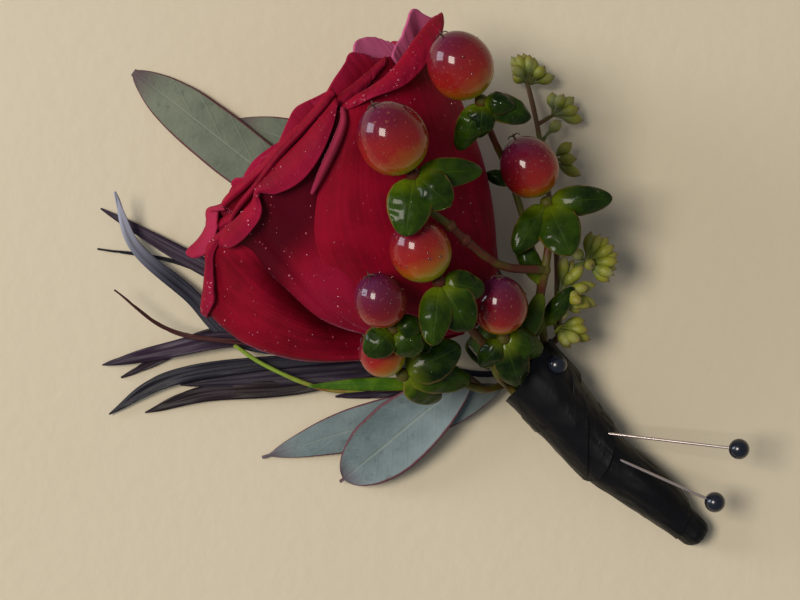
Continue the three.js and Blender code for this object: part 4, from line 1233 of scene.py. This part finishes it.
def ribbon_turn(start, end, number):
    """One turn of ribbon between two edges, lifted by its thickness over the turn that it laps."""

    def surface(u, v):
        turn = math.pi * u
        first, last = (
            middle + right * math.sin(turn) + top * math.cos(turn) for middle, right, top in (start, end)
        )
        last = min(last, bundle_length)
        distance = first + (last - first) * v
        radius = bundle_radius(distance) - RIBBON_SINK + RIBBON_STEP * v**2
        radius -= RIBBON_SQUASH * max(math.sin(turn), 0)
        around = Vector((math.cos(turn), math.sin(turn), 0))
        radius += 0.35 * noise(around * 1.2 + Vector((0, 0, distance * 0.1 + number * 3)))
        radius += 0.16 * noise(around * 4 + Vector((0, 0, distance * 0.25 + number * 5)))
        radius += 0.1 * noise(around * 9 + Vector((0, 0, distance * 0.5 + number * 7))) * v
        if number == 0:
            radius -= RIBBON_STEP * v
        if number == 1:
            off = ((distance - HOLLOW_AT) / HOLLOW_LENGTH) ** 2 + ((turn - HOLLOW_TURN) / HOLLOW_WIDTH) ** 2
            radius -= HOLLOW_DEPTH * math.exp(-off)
        if number == 2:
            gathered = math.exp(-((turn - GATHERS_TURN) / GATHERS_WIDTH) ** 2) * v**3
            radius += GATHERS_DEPTH * gathered * math.sin(70 * turn)
        near_tip = max(distance - bundle_length + TIP_ROUNDING, 0) / TIP_ROUNDING
        radius *= math.sqrt(max(1 - near_tip**2, 0))
        point = bundle_point(distance - MOUTH_AT, math.degrees(turn), radius)
        point.z = max(point.z, 0.25 + 0.2 * v)
        return point

    return surface


satin = ribbon_black()
ribbon_edges = [(SLEEVE_MOUTH, SLEEVE_END), (FRONT_MOUTH, RIBBON_LAPS[0])]
ribbon_edges += [
    ((before[0] - LAP_UNDER, *before[1:]), after)
    for before, after in zip(RIBBON_LAPS, [*RIBBON_LAPS[1:], RIBBON_END])
]
for number, (start, end) in enumerate(ribbon_edges):
    turn_mesh = new_mesh()
    sheet(turn_mesh, ribbon_turn(start, end, number), 110, 50)
    bmesh.ops.remove_doubles(turn_mesh, verts=turn_mesh.verts, dist=1e-4)
    make_piece(f"ribbon_turn_{number}", turn_mesh, satin, "ribbon", "ribbon_wrap", thickness=RIBBON_WALL)

# Pins: steel shafts pushed into the ribbon, each with a black imitation pearl fixed on its end.
# Each pin gives its bead's middle and a point that its shaft passes through.

PIN_LENGTH = 35
SHAFT_RADIUS = 0.28
SHAFT_START = 1.1
BEAD_RADIUS = 2
PINS = [
    (Vector((65.3, -28.7, 15.5)), Vector((41.3, -26.1, 10.9))),
    (Vector((61.2, -39.3, 11.8)), Vector((45.2, -32.2, 10.7))),
    (Vector((30.4, -12.6, 13)), bundle_point(33, 52.7, -1.6)),
]


def pin_outline(share):
    """A pin's radius and height, from inside its head to its point."""
    return SHAFT_RADIUS * min(1, 10 * (1 - share) + 0.05), SHAFT_START + (PIN_LENGTH - SHAFT_START) * share


def pin_steel():
    finish = Finish("pin_steel", metallic=1)
    grain = finish.noise(finish.place(), 120, 2)
    finish.set("Base Color", finish.mix(grain, (0.5, 0.41, 0.38), (0.68, 0.58, 0.55)))
    finish.set("Roughness", 0.2 + grain * 0.16)
    return finish.material


def pearl_black():
    finish = Finish("pearl_black", specular_ior_level=0.4, coat_weight=0.4, coat_roughness=0.05)
    cloud = finish.noise(finish.place(), 420, 3)
    finish.set("Base Color", finish.mix(cloud, (0.003, 0.004, 0.008), (0.009, 0.011, 0.022)))
    finish.set("Roughness", 0.2 + cloud * 0.12)
    return finish.material


steel, pearl = pin_steel(), pearl_black()
for number, (bead, passes) in enumerate(PINS, 1):
    way = (passes - bead).normalized()
    shaft = new_mesh()
    lathe(shaft, pin_outline, 16, 40, bead, way)
    join_seams(shaft)
    make_piece(f"pin_{number}_shaft", shaft, steel, "pin_steel", f"pin_shaft_{number}")
    head = new_mesh()
    lathe(head, ball(BEAD_RADIUS), 40, 28, bead, way)
    join_seams(head)
    make_piece(f"pin_{number}_pearl", head, pearl, "pin_pearl", f"pin_bead_{number}")

# Dew: drops of water that stand on the outer petals, the berries and the hypericum leaves.
# Each is a low clear dome, sunk a little into what it stands on.

DROP_HEIGHT = 0.6
ROSE_DROPS = (130, 140, 200)
BERRY_DROPS = 16
LEAF_DROPS = 3


def dew_water(name, low, high):
    """A drop looks like a glossy spot in a shade of what lies under it."""
    finish = Finish(f"dew_on_{name}", roughness=0.02, alpha=0.7, specular_ior_level=0.8, coat_weight=1)
    finish.set("Base Color", finish.mix(finish.noise(finish.place(), 900, 2), low, high))
    return finish.material


def drop(mesh, place, out, size):
    """Adds one drop that stands on a surface."""
    made = bmesh.ops.create_icosphere(mesh, subdivisions=2, radius=1)
    turning = out.to_track_quat("Z", "Y")
    for vertex in made["verts"]:
        x, y, z = vertex.co
        vertex.co = place + turning @ Vector((x * size, y * size, z * size * DROP_HEIGHT))


def surface_normal(surface, u, v):
    """The way out of a surface, on its upper side."""
    step = 0.01
    across = surface(u + step, v) - surface(u - step, v)
    along = surface(u, v + step) - surface(u, v - step)
    out = across.cross(along).normalized()
    return out if out.z > 0 else -out


chance = random.Random(11)
dew = new_mesh()
for surface, count in zip(petal_sheets, ROSE_DROPS):
    for _ in range(count):
        u, v = chance.uniform(-0.9, 0.9), chance.uniform(0.25, 0.97)
        out = surface_normal(surface, u, v)
        size = 0.09 + 0.2 * chance.random() ** 3
        drop(dew, surface(u, v) + out * (PETAL_THICKNESS / 2 + 0.1 * size), out, size)
make_piece("dew_on_rose", dew, dew_water("rose", (0.3, 0.004, 0.02), (0.7, 0.1, 0.18)), "rose_petals")
dew = new_mesh()
for middle, radius, way in berry_facts.values():
    for _ in range(BERRY_DROPS):
        out = Vector((chance.gauss(0, 1), chance.gauss(0, 1), abs(chance.gauss(0.6, 0.8)))).normalized()
        high = out.dot(way)
        reach = radius * math.sqrt(1 - high**2 + (high * BERRY_STRETCH) ** 2)
        size = 0.1 + 0.18 * chance.random() ** 3
        drop(dew, middle + out * reach * 0.995, out, size)
berry_water = dew_water("berries", (0.1, 0.006, 0.01), (0.2, 0.04, 0.02))
make_piece("dew_on_berries", dew, berry_water, "hypericum_berries")
dew = new_mesh()
for surface in leaf_sheets:
    for _ in range(LEAF_DROPS):
        u, v = chance.uniform(-0.7, 0.7), chance.uniform(0.2, 0.8)
        out = surface_normal(surface, u, v)
        drop(dew, surface(u, v) + out * LEAF_THICKNESS / 2, out, 0.1 + 0.2 * chance.random() ** 3)
leaf_water = dew_water("leaves", (0.01, 0.03, 0.002), (0.03, 0.08, 0.005))
make_piece("dew_on_leaves", dew, leaf_water, "hypericum_leaves")

# Table, light and camera: the part lies on a plain pale cream table, and the camera looks straight down.
# A cool window light stands low at the left, and a stronger warm light hangs above it.

CAMERA_HEIGHT = 0.42
CAMERA_LENS = 94.5
SENSOR_WIDTH = 36
TABLE_HALF = 1.5
ROOM_COLOUR = (0.82, 0.88, 1, 1)
ROOM_STRENGTH = 0.24


def table_cream():
    finish = Finish("table_cream", specular_ior_level=0.3)
    place = finish.place()
    cloud = finish.noise(place, 9, 3)
    finish.set("Base Color", finish.mix(cloud, (0.56, 0.48, 0.335), (0.63, 0.555, 0.41)))
    finish.set("Roughness", 0.5 + cloud * 0.1)
    finish.bump(finish.noise(place, 300, 3), 0.0001)
    return finish.material


floor = bmesh.new()
bmesh.ops.create_grid(floor, x_segments=1, y_segments=1, size=TABLE_HALF)
table_data = bpy.data.meshes.new("table")
floor.to_mesh(table_data)
floor.free()
table_data.materials.append(table_cream())
table = bpy.data.objects.new("table", table_data)
bpy.context.scene.collection.objects.link(table)


def add_light(name, place, size, power, colour):
    """Adds an area light that faces the part."""
    data = bpy.data.lights.new(name, "AREA")
    data.shape = "RECTANGLE"
    data.size, data.size_y = size
    data.energy = power
    data.color = colour
    light = bpy.data.objects.new(name, data)
    light.location = place
    light.rotation_euler = (-Vector(place)).to_track_quat("-Z", "Y").to_euler()
    bpy.context.scene.collection.objects.link(light)


add_light("window", (-1.9, 0.5, 0.6), (0.8, 1.05), 23, (0.8, 0.88, 1))
add_light("ceiling", (-1, 0.16, 2), (0.8, 0.8), 37, (1, 0.93, 0.83))

world = bpy.data.worlds.new("room")
world.use_nodes = True
background = world.node_tree.nodes["Background"]
background.inputs["Color"].default_value = ROOM_COLOUR
background.inputs["Strength"].default_value = ROOM_STRENGTH
bpy.context.scene.world = world
bpy.context.scene.view_settings.view_transform = "Standard"

camera_data = bpy.data.cameras.new("camera")
camera_data.lens = CAMERA_LENS
camera_data.sensor_width = SENSOR_WIDTH
camera = bpy.data.objects.new("camera", camera_data)
camera.location = Vector((0, 0, CAMERA_HEIGHT)) - PART_MIDDLE * MILLIMETRE
bpy.context.scene.collection.objects.link(camera)
bpy.context.scene.camera = camera
